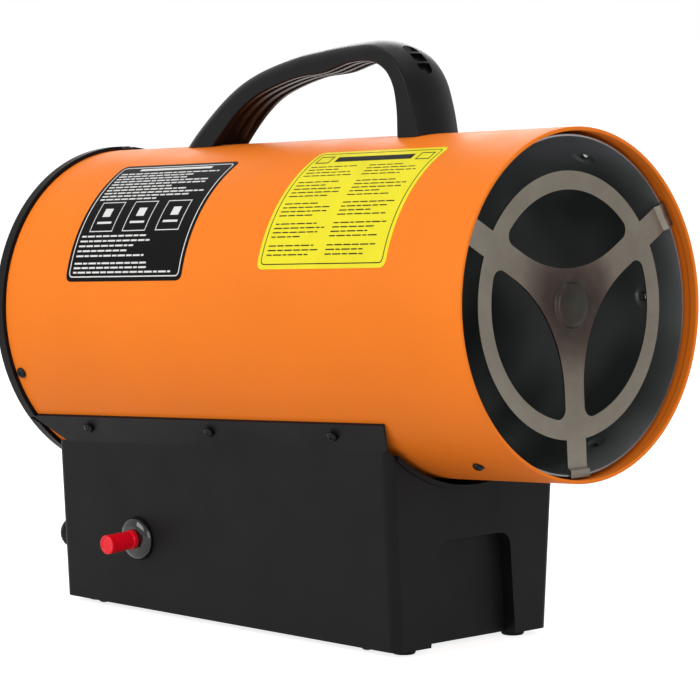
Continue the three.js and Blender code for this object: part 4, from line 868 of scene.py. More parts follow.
def base_housing():
    """The pressed tub: tapered walls, a saddle with a turned lip, a recess, flanges and an inner shelf."""
    pocket_rear, pocket_front = BASE_FRONT - RECESS_DEPTH, BASE_FRONT + OVERRUN
    housing = make("base_tub", [base_block(0, 0, AXIS_HEIGHT)], BASE)
    hollow = make("hollow", [base_block(BASE_WALL, -OVERRUN, AXIS_HEIGHT + OVERRUN)], BASE)
    pocket_skin = make("skin", [recess_block(BASE_WALL, pocket_rear - BASE_WALL, pocket_front)], BASE)
    cut(hollow, pocket_skin)
    pocket = make("pocket", [recess_block(0, pocket_rear, pocket_front)], BASE)
    cut(housing, pocket, hollow, make("saddle", [long_tube(SADDLE_RADIUS)]))

    lip = make("lip", [long_tube(SADDLE_RADIUS + OVERRUN, SADDLE_RADIUS - SADDLE_LIP_HEIGHT)])
    strip = box((BASE_FRONT - BASE_WALL, -BASE_HALF_WIDTH, 0),
                (BASE_FRONT + SADDLE_LIP_REACH, BASE_HALF_WIDTH, AXIS_HEIGHT - SHELL_RADIUS / 2))
    combine(lip, [make("strip", [strip], BASE)], "INTERSECT")
    shelf_low = PLATE_TOP + FIT
    shelf = make("shelf", [base_block(0.5 * BASE_WALL, shelf_low, shelf_low + SHELF_HEIGHT)], BASE)
    edge = BASE_HALF_WIDTH - BASE_WALL - SHELF_WIDTH
    middle = make("middle", [box((-BASE_REAR, -edge, 0), (BASE_FRONT, edge, AXIS_HEIGHT))], BASE)
    cut(shelf, middle)
    join(housing, lip, shelf, *[make("flange", [flange(side)]) for side in (-1, 1)])
    bevel(housing, 0.45, 2, 38)
    cut(housing, *wall_holes())
    dress(housing, BLACK_PAINT, ["base_housing"], angle=30)


# ---- handle

def catmull_rom(points, share):
    """A point on the centripetal spline through points of any dimension, at a share of its stations."""
    place = share * (len(points) - 1)
    i = min(int(place), len(points) - 2)
    t = place - i
    p1, p2 = Vector(points[i]), Vector(points[i + 1])
    p0 = Vector(points[i - 1]) if i > 0 else 2 * p1 - p2
    p3 = Vector(points[i + 2]) if i + 2 < len(points) else 2 * p2 - p1
    d0, d1, d2 = [math.sqrt((b - a).length) for a, b in ((p0, p1), (p1, p2), (p2, p3))]
    m1 = ((p1 - p0) / d0 - (p2 - p0) / (d0 + d1) + (p2 - p1) / d1) * d1
    m2 = ((p2 - p1) / d1 - (p3 - p1) / (d1 + d2) + (p3 - p2) / d2) * d1
    return p1 + m1 * t + (3 * (p2 - p1) - 2 * m1 - m2) * t ** 2 + (2 * (p1 - p2) + m1 + m2) * t ** 3


def handle_frame(share):
    """Centre, outward normal, direction, thickness and half width of the handle at a share of its length."""
    line = [(x, 0, z) for x, z, _, _ in HANDLE_STATIONS]
    widths = [(thickness, half, 0) for _, _, thickness, half in HANDLE_STATIONS]
    low, high = max(share - 0.001, 0.0), min(share + 0.001, 1.0)
    along = (catmull_rom(line, high) - catmull_rom(line, low)).normalized()
    thickness, half, _ = catmull_rom(widths, share)
    return catmull_rom(line, share), Vector((-along.z, 0, along.x)), along, thickness, half


def handle_section(thickness, half, groove, brow):
    """A crowned top with edges of a given radius, straight sides and a rounded, grooved underside."""
    top = thickness / 2
    corners = []
    for i in range(CROWN_STEPS + 1):
        across = math.cos(math.pi * i / CROWN_STEPS)
        bend = max(0.0, (abs(across) - 1) * half / brow + 1)
        fall = brow * (1 - math.sqrt(max(0.0, 1 - bend ** 2)))
        corners.append((across * half, top + HANDLE_CROWN * (1 - across ** 2) - fall))
    corners.append((-half, -top))
    pitch = 2 * (half - HANDLE_EDGE) / GROOVE_COUNT
    for i in range(GROOVE_COUNT):
        middle = HANDLE_EDGE - half + pitch * (i + 0.5)
        for j in range(GROOVE_STEPS + 1):
            run = j / GROOVE_STEPS
            depth = groove * (0.5 - 0.5 * math.cos(2 * math.pi * run)) ** 0.7
            corners.append((middle + GROOVE_WIDTH * (run - 0.5), depth - top))
    corners.append((half, -top))
    radii = [0] * len(corners)
    radii[CROWN_STEPS + 1] = radii[-1] = HANDLE_EDGE
    return round_corners(corners, radii, 5)


def brow_radius(share):
    """The top's edges are round along the grip and crisp on the front leg."""
    change = smooth_step((share - BROW_START) / (BROW_END - BROW_START))
    return HANDLE_SOFT_BROW + (HANDLE_CRISP_BROW - HANDLE_SOFT_BROW) * change


def groove_depth(share):
    """The grooves run out at both ends of the grip."""
    run = (share - GROOVE_START) / (GROOVE_END - GROOVE_START)
    return GROOVE_DEPTH * smooth_step(8 * min(run, 1 - run))


def handle_vent():
    """The oblong recess near the top of the front leg, with bars left across it."""
    centre, outward, along, thickness, _ = handle_frame(VENT_PLACE)
    top = thickness / 2 + HANDLE_CROWN
    reach, radius = (VENT_LENGTH - VENT_WIDTH) / 2, VENT_WIDTH / 2
    outline = []
    for middle, start in ((reach, -90), (-reach, 90)):
        for step in range(17):
            angle = math.radians(start + 180 * step / 16)
            outline.append((middle + radius * math.cos(angle), radius * math.sin(angle)))
    rings = [[(x, y, z) for x, y in outline] for z in (top - VENT_DEPTH, top + 3)]
    axes = Matrix((along, outward.cross(along), outward)).transposed().to_4x4()
    place = TUBE @ Matrix.Translation(centre) @ axes
    pocket = make("vent", [loft(rings)], place)
    bars = []
    for i in range(VENT_BARS):
        middle = VENT_LENGTH * ((i + 1) / (VENT_BARS + 1) - 0.5)
        low, high = middle - VENT_BAR_WIDTH / 2, middle + VENT_BAR_WIDTH / 2
        bars.append(make("bar", [box((low, -VENT_WIDTH, 0), (high, VENT_WIDTH, 2 * top))], place))
    return cut(pocket, *bars)


def handle():
    """The moulded arch, lofted along its stations."""
    rings = []
    for step in range(HANDLE_STEPS + 1):
        share = step / HANDLE_STEPS
        centre, outward, _, thickness, half = handle_frame(share)
        section = handle_section(thickness, half, groove_depth(share), brow_radius(share))
        rings.append([(centre.x + outward.x * y, x, centre.z + outward.z * y) for x, y in section])
    arch = make("handle_moulding", [loft(rings)])
    cut(arch, make("saddle", [long_tube(SHELL_RADIUS + FIT)]), handle_vent())
    dress(arch, HANDLE_PLASTIC, ["handle"], angle=34)


# ---- combustion chamber

DIMPLE_ANGLES = [math.radians(360 * i / DIMPLE_COUNT) for i in range(DIMPLE_COUNT)]


def dimple_push(radius, x, angle):
    """The can's radius at a place on its wall, which the dimples press out towards the shell."""
    if abs(x - DIMPLE_X) > DIMPLE_RADIUS or radius < CHAMBER_RADIUS - 3:
        return radius
    for middle in DIMPLE_ANGLES:
        away = (angle - middle + math.pi) % (2 * math.pi) - math.pi
        distance = math.hypot(x - DIMPLE_X, away * CHAMBER_RADIUS)
        if distance < DIMPLE_RADIUS:
            return radius + DIMPLE_DEPTH * smooth_step((DIMPLE_RADIUS - distance) / (0.45 * DIMPLE_RADIUS))
    return radius


def rivet(angle):
    """A low round head on the inner side of the dimple at an angle."""
    head = spun([
        (0, -RIVET_HEIGHT), (0.55 * RIVET_RADIUS, -RIVET_HEIGHT, 0.8),
        (RIVET_RADIUS, -0.35 * RIVET_HEIGHT, 0.5), (RIVET_RADIUS, RIVET_SINK), (0, RIVET_SINK)], 28, 4)
    seat = CHAMBER_RADIUS - CHAMBER_WALL + DIMPLE_DEPTH
    return moved(head, shift(DIMPLE_X) @ Matrix.Rotation(angle, 4, "X") @ shift(0, seat) @ turn(90, "Z"))


def combustion_chamber():
    """The can: a rolled wall with pressed dimples, a cone and a rear lip, and rivets in the upper dimples."""
    inner = CHAMBER_RADIUS - CHAMBER_WALL
    lip_inner, lip_front = CHAMBER_REAR_RADIUS - CHAMBER_LIP, CHAMBER_REAR + CHAMBER_WALL
    fine = [DIMPLE_X + DIMPLE_RADIUS * (i / 12 - 1) for i in range(25)]
    profile = [(lip_inner, CHAMBER_REAR), (CHAMBER_REAR_RADIUS, CHAMBER_REAR), (CHAMBER_RADIUS, CHAMBER_CONE)]
    profile += [(CHAMBER_RADIUS, x) for x in (*fine, CHAMBER_FRONT)]
    profile += [(inner, x) for x in (CHAMBER_FRONT, *reversed(fine), CHAMBER_CONE)]
    profile += [(CHAMBER_REAR_RADIUS - CHAMBER_WALL, lip_front), (lip_inner, lip_front)]
    can = make("burner_can", [lathe(profile, CHAMBER_SIDES, dimple_push)])
    dress(can, CHAMBER_ENAMEL, ["combustion_chamber"], angle=28)
    rivets = [rivet(angle) for angle in DIMPLE_ANGLES if math.sin(angle) > -0.5]
    dress(make("can_rivets", rivets), RIVET_STEEL)


# ---- flame guard

GUARD_ARMS = [math.radians(150 + 120 * i) for i in range(3)]
LUG_STEPS = [GUARD_BEND + step for step in (-1, 0, 0.6, GUARD_LUG - 0.6, GUARD_LUG)]


def arc(centre, radius, start, end, steps):
    angles = [start + (end - start) * i / steps for i in range(steps + 1)]
    return [(centre[0] + radius * math.cos(a), centre[1] + radius * math.sin(a)) for a in angles]


def turned(points, angle):
    c, s = math.cos(angle), math.sin(angle)
    return [(c * y - s * z, s * y + c * z) for y, z in points]


def guard_opening():
    """One of the three openings, drawn about +Y: a ring arc, corner fillets and a large hub arc."""
    corner, gap = GUARD_CORNER, math.pi / 3
    vertex = GUARD_SPOKE / 2 / math.sin(gap)
    sweep = (GUARD_HUB - vertex) / (1 / math.sin(gap) - 1)
    arc_centre = vertex + sweep / math.sin(gap)
    corner_ring = GUARD_RING_INNER - corner
    corner_angle = gap - math.asin((GUARD_SPOKE / 2 + corner) / corner_ring)
    cy, cz = corner_ring * math.cos(corner_angle), corner_ring * math.sin(corner_angle)
    points = arc((0, 0), GUARD_RING_INNER, -corner_angle, corner_angle, 48)
    points += arc((cy, cz), corner, corner_angle, gap + math.pi / 2, 14)[1:]
    points += arc((arc_centre, 0), sweep, gap + math.pi / 2, 1.5 * math.pi - gap, 40)
    return points + arc((cy, -cz), corner, -gap - math.pi / 2, -corner_angle, 14)[:-1]


def guard_outline():
    """The ring's outer edge with the three arms on it."""
    half = GUARD_SPOKE / 2
    root = math.asin(half / GUARD_RING_OUTER)
    edge = [GUARD_RING_OUTER * math.cos(root), *LUG_STEPS, GUARD_REACH]
    arm = [(reach, -half) for reach in edge] + [(reach, half) for reach in reversed(edge)]
    points = []
    for angle in GUARD_ARMS:
        points += turned(arm, angle)
        points += arc((0, 0), GUARD_RING_OUTER, angle + root, angle + 2 * math.pi / 3 - root, 72)[1:-1]
    return points


def guard_offset(point):
    """How far forward the guard's sheet lies at a point of its plan: the dome and the stepped lugs."""
    radius = point.length
    if radius < DOME_FOOT:
        rise = smooth_step((DOME_FOOT - radius) / 2.2)
        return DOME_HEIGHT * rise * (0.4 + 0.6 * math.sqrt(max(0.0, 1 - (radius / DOME_RADIUS) ** 2)))
    if radius > GUARD_RING_OUTER + 1:
        reach = max(point.x * math.cos(a) + point.y * math.sin(a) for a in GUARD_ARMS)
        return GUARD_LUG * smooth_step((reach - GUARD_BEND) / GUARD_LUG)
    return 0.0


def flame_guard():
    """The stamped sheet: a ring, three spokes, a pressed dome in the hub and lugs over the can's rim."""
    openings = [turned(guard_opening(), math.radians(90 + 120 * i)) for i in range(3)]
    inner = [(0.0, 0.0)]
    for radius in [1.5 * i for i in range(1, 8)] + [11.4, 12.0, 12.6, 13.2, 13.7, 14.0, 15.0]:
        inner += arc((0, 0), radius, 0, 2 * math.pi * 47 / 48, 47)
    for angle in GUARD_ARMS:
        for reach in LUG_STEPS:
            inner += turned([(reach, GUARD_SPOKE * (i / 6 - 0.5)) for i in range(1, 6)], angle)
    guard = make("guard_stamping", [plate(
        [guard_outline(), *openings], inner,
        lambda p: (GUARD_X + guard_offset(p), p.x, p.y),
        lambda p: (GUARD_X - GUARD_THICKNESS + guard_offset(p), p.x, p.y))])
    bevel(guard, 0.22, 2, 60)
    dress(guard, HEATED_STEEL, ["flame_guard"], angle=40)


# ---- burner

def burner_plate():
    """A disc with a ring of air holes, and holes for the jet and the two rods."""
    disc = make("burner_disc", [rod(CHAMBER_REAR_RADIUS, PLATE_REAR, PLATE_FRONT, 144)])

    def hole(radius, y, z):
        return moved(rod(radius, PLATE_REAR - OVERRUN, PLATE_FRONT + OVERRUN, 40), shift(0, y, z))

    air = copies_round_x(hole(BURNER_HOLE_RADIUS, 0, BURNER_HOLE_CIRCLE), BURNER_HOLES, 180 / BURNER_HOLES)
    rods = [hole(ROD_RADIUS + 2 * FIT, side * ROD_OFFSET, 0) for side in (-1, 1)]
    cut(disc, make("holes", [*air, hole(JET_RADIUS + FIT, 0, 0), *rods]))
    bevel(disc, 0.2, 1, 60)
    dress(disc, ZINC, ["burner_plate"])


def burner_cup():
    """A footed neck that opens in a pierced cone to a short straight mouth."""
    foot, cone = PLATE_FRONT + FIT, CHAMBER_REAR + FIT + NECK_LENGTH
    mouth, bend = cone + CUP_CONE, CUP_WALL / 2
    neck_inner, mouth_inner = NECK_RADIUS - CUP_WALL, MOUTH_RADIUS - CUP_WALL
    cup = make("flame_cup", [spun([
        (neck_inner, foot, 0.3), (NECK_RADIUS + CUP_RIM, foot, 0.5),
        (NECK_RADIUS + CUP_RIM, foot + CUP_WALL, 0.3), (NECK_RADIUS, foot + CUP_WALL, 0.6),
        (NECK_RADIUS, cone, 3), (MOUTH_RADIUS, mouth, 2),
        (MOUTH_RADIUS, mouth + CUP_RIM, 0.4), (mouth_inner, mouth + CUP_RIM, 0.4),
        (mouth_inner, mouth + bend, 2), (neck_inner, cone + bend, 3)], 160, 5)])
    middle = (NECK_RADIUS + MOUTH_RADIUS) / 2
    upright = moved(rod(CUP_HOLE_RADIUS, middle - 12, middle + 12, 28), turn(-90, "Y"))
    holes = copies_round_x(moved(upright, shift(cone + CUP_CONE / 2)), CUP_HOLES, 20)
    cut(cup, make("holes", holes))
    dress(cup, HEATED_STEEL, ["burner_cup"])


# ---- fan

def fan_blade(middle):
    """A cambered blade that twists and widens towards its tip, wrapped round the axis."""
    root = FAN_HUB_RADIUS - 2
    rings = []
    for i in range(BLADE_STATIONS):
        out = i / (BLADE_STATIONS - 1)
        radius = root + (FAN_RADIUS - root) * out
        chord = ROOT_CHORD + (TIP_CHORD - ROOT_CHORD) * math.sin(out * math.pi / 2)
        pitch = math.radians(ROOT_PITCH + (TIP_PITCH - ROOT_PITCH) * out)
        upper, lower = [], []
        for j in range(BLADE_STEPS + 1):
            run = j / BLADE_STEPS - 0.5
            camber = BLADE_CAMBER * chord * (1 - 4 * run ** 2)
            skin = BLADE_THICKNESS / 2 * math.sqrt(max(0.02, 1 - (2 * run) ** 6))
            upper.append((run * chord, camber + skin))
            lower.insert(0, (run * chord, camber - skin))
        ring = []
        for x, y in upper + lower:
            along = x * math.sin(pitch) + y * math.cos(pitch)
            angle = (x * math.cos(pitch) - y * math.sin(pitch)) / max(radius, FAN_HUB_RADIUS)
            ring.append((middle + along, -radius * math.sin(angle), radius * math.cos(angle)))
        rings.append(ring)
    return loft(rings)


def fan():
    """Five twisted blades on a cupped hub."""
    front = span(in_frame("motor_shaft", TUBE))[1] + FAN_WALL + FIT
    rear, bore, boss = front - FAN_HUB_LENGTH, SHAFT_RADIUS + FIT, SHAFT_RADIUS + 4
    hub_inner, face = FAN_HUB_RADIUS - FAN_WALL, front - 2 * FAN_WALL
    hub = make("fan_wheel", [spun([
        (bore, rear + 3, 0.3), (boss, rear + 3, 0.6), (boss, face, 1), (hub_inner, face, 1),
        (hub_inner, rear, 0.5), (FAN_HUB_RADIUS, rear, 0.5), (FAN_HUB_RADIUS, front - FAN_WALL, 2),
        (hub_inner, front, 2), (0, front), (0, front - FAN_WALL), (bore, front - FAN_WALL)], 120, 4)])
    blades = make("blades", copies_round_x(fan_blade((rear + front) / 2), FAN_BLADES))
    core = make("core", [rod(hub_inner + 0.6, rear - 30, front + 30, 120)])
    join(hub, cut(blades, core))
    dress(hub, FAN_PLASTIC, ["fan"], "fan", angle=35)


# ---- rear grille

def flange_notch(side):
    """A cutter for the rear end of a flange, grown on all sides by a clearance."""
    notch = make("notch", [flange(side)])
    for vertex in notch.data.vertices:
        local = TUBE.inverted() @ vertex.co
        out = Vector((0, local.y, local.z))
        local += out.normalized() * (NOTCH_FIT if out.length > SHELL_RADIUS + 1 else -1.5 * NOTCH_FIT)
        local.z += math.copysign(NOTCH_FIT, local.z - NOTCH_MIDDLE)
        local.x += math.copysign(NOTCH_OVERRUN, local.x)
        vertex.co = TUBE @ local
    return notch


def rear_grille():
    """A rim that caps the shell, a spigot inside it, and rounded rings on spokes with a hub."""
    spigot_end = GRILLE_FRONT + SPIGOT_LENGTH
    half, width = GRILLE_RING_WIDTH / 2, GRILLE_SPOKE_WIDTH / 2
    low, high = GRILLE_REAR + half, GRILLE_REAR + GRILLE_SPOKE_DEPTH
    pitch = (SPIGOT_INNER - GRILLE_HUB) / (GRILLE_RINGS + 1)
    grille = make("intake_grille", [spun([
        (SPIGOT_INNER, GRILLE_REAR, 1), (GRILLE_RIM, GRILLE_REAR, 1.6), (GRILLE_RIM, GRILLE_FRONT, 0.3),
        (SPIGOT_OUTER, GRILLE_FRONT), (SPIGOT_OUTER, spigot_end, 0.5), (SPIGOT_INNER, spigot_end, 0.5)],
        SHELL_SIDES, 5)])
    spoke = box((low, -width, 0.5 * GRILLE_HUB), (high, width, SPIGOT_INNER + 0.5 * SPIGOT_WALL))
    spokes = make("spokes", copies_round_x(spoke, GRILLE_SPOKES, 180 / GRILLE_SPOKES))
    bevel(spokes, 0.3, 2, 60)
    rings = []
    for i in range(GRILLE_RINGS):
        middle = GRILLE_HUB + pitch * (i + 1)
        section = rectangle(middle - half, middle + half, GRILLE_REAR, GRILLE_REAR + 2 * half)
        rings.append(spun([(*p, rounding) for p, rounding in zip(section, (0.8, 0.8, 0.3, 0.3))], 160, 4))
    hub = spun([(0, GRILLE_REAR), (GRILLE_HUB, GRILLE_REAR, 1.2), (GRILLE_HUB, high, 0.4), (0, high)], 120, 4)
    join(grille, make("rings", rings), spokes, make("hub", [hub]))
    cut(grille, flange_notch(-1), flange_notch(1))
    dress(grille, GRILLE_PLASTIC, ["rear_grille"], angle=30)


# ---- screws

def screw_part():
    """A pan head screw along X with a cross recess; the head's top is at x = 0."""
    end = -SCREW_HEIGHT - SCREW_STUB
    head = make("screw", [spun([
        (0, 0), (0.55 * SCREW_HEAD, 0, 1.4), (SCREW_HEAD, -0.5 * SCREW_HEIGHT, 1),
        (SCREW_HEAD, -SCREW_HEIGHT, 0.25), (SCREW_RADIUS, -SCREW_HEIGHT), (SCREW_RADIUS, end, 0.3),
        (0, end)], 40, 5)], Matrix())
    slots = []
    for angle in (0, 90):
        rings = []
        for x, arm, width in ((0.2, 1, 1), (-SLOT_DEPTH, 0.35, 0.5)):
            arm, width = arm * SLOT_REACH, width * SLOT_HALF_WIDTH
            rings.append([(x, y, z) for y, z in rectangle(-arm, arm, -width, width)])
        slots.append(make("slot", [moved(loft(rings), turn(angle))], Matrix()))
    cut(head, *slots)
    part = [tuple(v.co) for v in head.data.vertices], [list(p.vertices) for p in head.data.polygons]
    bpy.data.objects.remove(head)
    return part


def screws():
    """A detailed screw over each CAD one, with its head's top where the CAD head's top is."""
    screw = screw_part()

    def put(node, direction, material, angle):
        place, _, top = fitting(node, direction)
        local = moved(screw, shift(top) @ Matrix.Rotation(angle, 4, "X"))
        dress(make(f"{node}_pan_head", [local], place), material, [node])

    radial = [n for n in frame["nodes"] if n.startswith(("rear_screw", "front_screw", "flange_screw"))]
    for i, node in enumerate(sorted(radial)):
        points = in_frame(node, TUBE)
        middle = sum(points, Vector((0, 0, 0))) / len(points)
        put(node, TUBE.to_3x3() @ Vector((0, middle.y, middle.z)), BLACK_SCREW, 0.7 * i)
    for i in range(1, 3):
        put(f"handle_screw_{i}", TUBE.to_3x3() @ Vector(DOWNWARD), ZINC, 0.9 * i)
    for i in range(1, 5):
        put(f"plate_screw_{i}", DOWNWARD, BLACK_SCREW, 0.5 * i)


# ---- feet

def feet():
    """Rubber feet with a rounded rim and a shallow cup in the sole."""
    for i in range(1, 5):
        node = f"foot_{i}"
        place, low, high = fitting(node, DOWNWARD)
        radius = max(math.hypot(p.y, p.z) for p in in_frame(node, place))
        top, sole = high - FOOT_HEIGHT, high - FOOT_CUP
        foot = spun([
            (0, sole), (0.42 * radius, sole, 0.6), (0.5 * radius, high, 0.5), (0.9 * radius, high, 0.8),
            (radius, high - 1.4, 1), (radius, top, 0.3), (FOOT_STEM, top), (FOOT_STEM, low, 0.5),
            (0, low)], 64, 5)
        dress(make(f"rubber_{node}", [foot], place), RUBBER, [node])


# ---- gas button

def valve_pieces():
    """A domed round collar, and the gas button that stands out of it."""
    place, rear, front = fitting("valve_button", OUT_OF_VALVE)
    low, high = span(in_frame("valve_collar", place))
    neck = span(in_frame("gas_valve", place))[1] + 0.1
    collar = spun([
        (COLLAR_SEAT, low, 0.2), (COLLAR_RADIUS, low, 0.3), (COLLAR_RADIUS, low + 1.2, 0.8),
        (COLLAR_RADIUS - 1, high - 1.8, 1.6), (COLLAR_RADIUS - 4, high - 0.3, 2.5), (COLLAR_BORE, high, 0.4),
        (COLLAR_BORE, neck), (COLLAR_SEAT, neck)], 128, 6)
    dress(make("button_collar", [collar], place), GLOSS_BLACK, ["valve_collar"])
    cap_rear, waist = low - FIT - BASE_WALL - FIT, BUTTON_RADIUS - 0.4
    button = spun([
        (0, rear), (BUTTON_STEM, rear, 0.4), (BUTTON_STEM, cap_rear), (BUTTON_RADIUS, cap_rear, 0.3),
        (BUTTON_RADIUS, high + 2.6, 0.4), (waist, high + 3.2, 0.4), (waist + 0.2, front - 3, 4),
        (waist + 0.3, front, 1.1), (4.6, front, 0.5), (4.1, front - 0.5, 0.8), (0, front - 0.3)], 96, 5)
    dress(make("gas_button", [button], place), RED_PLASTIC, ["valve_button"], "valve_button")


# ---- rear fittings

def hexagon(radius, start, end):
    angles = [math.radians(60 * i) for i in range(6)]
    return prism([(radius * math.cos(a), radius * math.sin(a)) for a in angles], start, end)


def slab(width, height, corner, start, end):
    """A block with round corners, from one x to another."""
    outline = rectangle(-width / 2, width / 2, -height / 2, height / 2)
    return prism(round_corners(outline, [corner] * 4, 6), start, end)


def fluted(radius, _, angle):
    """The gland cap's radius, which waves round the axis on its side."""
    depth = FLUTE_DEPTH if radius > FLUTE_FLOOR else 0
    return radius - depth * (0.5 - 0.5 * math.cos(FLUTE_COUNT * angle)) ** 2


def cable_gland():
    """A hexagon against the wall, a fluted cap, and a nut behind the wall, with a bore through them."""
    place, low, high = fitting("cable_gland", REARWARD)
    wall = high - GLAND_LENGTH
    gland = make("gland", [hexagon(GLAND_HEXAGON, wall + FIT, wall + 6.3)], place)
    bevel(gland, 0.6, 3, 50)
    nut = make("nut", [hexagon(GLAND_HEXAGON, low + 2, low + 6)], place)
    bevel(nut, 0.4, 2, 50)
    neck = make("neck", [rod(GLAND_RADIUS, low, wall + 5, 64)], place)
    cap = make("cap", [spun([
        (0, wall + 4), (GLAND_CAP, wall + 4, 0.4), (GLAND_CAP, wall + 10.5, 1.4), (GLAND_MOUTH, high, 1.2),
        (0, high)],
        192, 5, fluted)], place)
    join(gland, nut, neck, cap)
    cut(gland, make("bore", [rod(GLAND_BORE, low - OVERRUN, high + OVERRUN, 64)], place))
    dress(gland, GRILLE_PLASTIC, ["cable_gland"])


def gas_inlet():
    """A brass hexagon and a barbed hose tail with its bore."""
    place, low, high = fitting("gas_inlet", REARWARD)
    wall = high - INLET_LENGTH
    body = make("hose_tail", [hexagon(INLET_HEXAGON, wall + FIT, wall + 6)], place)
    bevel(body, 0.5, 3, 50)
    points = [(0, low), (INLET_RADIUS, low, 0.4), (INLET_RADIUS, wall + 5)]
    for i in range(BARB_COUNT):
        start = wall + 5.5 + BARB_PITCH * i
        points += [(BARB_ROOT, start, 0.3), (BARB_ROOT + 0.1, start + 1.5, 0.3),
                   (BARB_TOP, start + 2.1, 0.3), (BARB_ROOT + 0.3, start + 4.8, 0.2)]
    tail = make("tail", [spun(points + [(TAIL_RADIUS, high, 0.5), (0, high)], 72, 4)], place)
    join(body, tail)
    cut(body, make("bore", [rod(INLET_BORE, low - OVERRUN, high + OVERRUN, 32)], place))
    dress(body, BRASS, ["gas_inlet"])


def rocker_face(z):
    """The x of the rocker's dished face."""
    return ROCKER_FACE + (z / ROCKER_HALF_HEIGHT) ** 2


def rocker_switch():
    """A bezel with a well, and a rocker with a bar and a ring on its two faces."""
    place, low, high = fitting("switch_frame", REARWARD)
    wall = high - SWITCH_RIM
    bezel = make("switch_bezel", [slab(SWITCH_WIDTH + 4, SWITCH_HEIGHT + 4, 1.6, wall + FIT, high)], place)
    bevel(bezel, 0.5, 3, 50)
    join(bezel, make("body", [slab(SWITCH_WIDTH, SWITCH_HEIGHT, 0.6, low, wall + 1)], place))
    well = slab(SWITCH_WIDTH - 3, SWITCH_HEIGHT - 3, 0.5, wall - 7, high + OVERRUN)
    cut(bezel, make("well", [well], place))
    dress(bezel, GRILLE_PLASTIC, ["switch_frame"])

    half, tilt = ROCKER_HALF_HEIGHT, shift(wall) @ turn(ROCKER_TILT, "Y")
    outline = [(rocker_face(z), z) for z in [half * (step / 8 - 1) for step in range(17)]]
    outline += [(ROCKER_EDGE, half), (ROCKER_BACK, 0.55 * half), (ROCKER_BACK, -0.55 * half),
                (ROCKER_EDGE, -half)]
    rings = [[(x, y, z) for x, z in outline] for y in (-ROCKER_HALF_WIDTH, ROCKER_HALF_WIDTH)]
    rocker = make("switch_paddle", [moved(loft(rings), tilt)], place)
    bevel(rocker, 0.4, 3, 50)
    dress(rocker, RED_PLASTIC, ["switch_rocker"], "switch_rocker")

    def on_face(part):
        """Bends a flat mark onto the rocker's face."""
        return moved(([(rocker_face(z) + x, y, z) for x, y, z in part[0]], part[1]), tilt)

    section = rectangle(MARK_LOW, MARK_HIGH, -0.45, 0.45)
    stroke = loft([[(x, y, z) for x, y in section] for z in (3.4, 4.4, 5.4, 6.4)])
    ring = moved(lathe(rectangle(1.3, 1.9, MARK_LOW, MARK_HIGH), 36), shift(0, 0, -4.9))
    marks = make("switch_marks", [on_face(stroke), on_face(ring)], place)
    dress(marks, WHITE_PRINT, (), "switch_rocker")


def igniter():
    """A round bezel with a dished push button."""
    place, low, high = fitting("igniter_body", REARWARD)
    wall = high - IGNITER_RIM
    seat, well = wall + FIT, wall - IGNITER_WELL
    bezel = spun([
        (IGNITER_BORE, well, 0.3), (IGNITER_BORE, high, 0.6), (IGNITER_FLANGE - 1.3, high, 0.5),
        (IGNITER_FLANGE, wall + 1.2, 0.4), (IGNITER_FLANGE, seat, 0.2), (IGNITER_RADIUS, seat),
        (IGNITER_RADIUS, low, 0.5), (0, low), (0, well)], 96, 4)
    dress(make("igniter_bezel", [bezel], place), GRILLE_PLASTIC, ["igniter_body"])
    place, rear, front = fitting("igniter_button", REARWARD)
    cap = make("igniter_cap", [spun([
        (0, rear), (IGNITER_CAP, rear, 0.3), (IGNITER_CAP, front, 1), (4.2, front, 0.4),
        (2.5, front - 0.5, 1), (0, front - 0.6)], 80, 5)], place)
    dress(cap, GLOSS_BLACK, ["igniter_button"], "igniter_button")


# ---- labels, in places along the tube and arc lengths round the shell

def on_shell(lift):
    """Maps a place on the shell to a point at a height above it."""
    radius = SHELL_RADIUS + lift
    return lambda p: (p.x, radius * math.cos(p.y / SHELL_RADIUS), radius * math.sin(p.y / SHELL_RADIUS))


def panel(x0, x1, s0, s1):
    """A label's sheet with round corners, split in rows that follow the shell."""
    corner = LABEL_CORNER
    outline = round_corners(rectangle(x0, x1, s0, s1), [corner] * 4, 8)
    rows = max(2, int((s1 - s0) / 1.5))
    levels = [s0 + (s1 - s0) * i / rows for i in range(1, rows)]
    inner = [(x, s) for s in levels for x in (x0 + corner, x1 - corner)]
    straight = [s for s in levels if s0 + corner < s < s1 - corner]
    right, left = [(x1, s) for s in straight], [(x0, s) for s in reversed(straight)]
    half = len(outline) // 2
    loop = outline[:half] + right + outline[half:] + left
    return plate([loop], inner, on_shell(SHEET_HIGH), on_shell(LABEL_GAP))


def bar(x0, x1, s0, s1):
    """A thin printed bar."""
    rows = max(1, int(abs(s1 - s0) / 2))
    front, rear = on_shell(SHEET_HIGH + PRINT_THICKNESS), on_shell(SHEET_HIGH - PRINT_SINK)
    rings = []
    for i in range(rows + 1):
        start, end = [Vector((x, s0 + (s1 - s0) * i / rows)) for x in (x0, x1)]
        rings.append([rear(start), rear(end), front(end), front(start)])
    return loft(rings)


def frame_bars(x0, x1, s0, s1, width):
    """Four bars that frame a rectangle."""
    low, high = s0 + width, s1 - width
    return [bar(x0, x1, s0, low), bar(x0, x1, high, s1),
            bar(x0, x0 + width, low, high), bar(x1 - width, x1, low, high)]


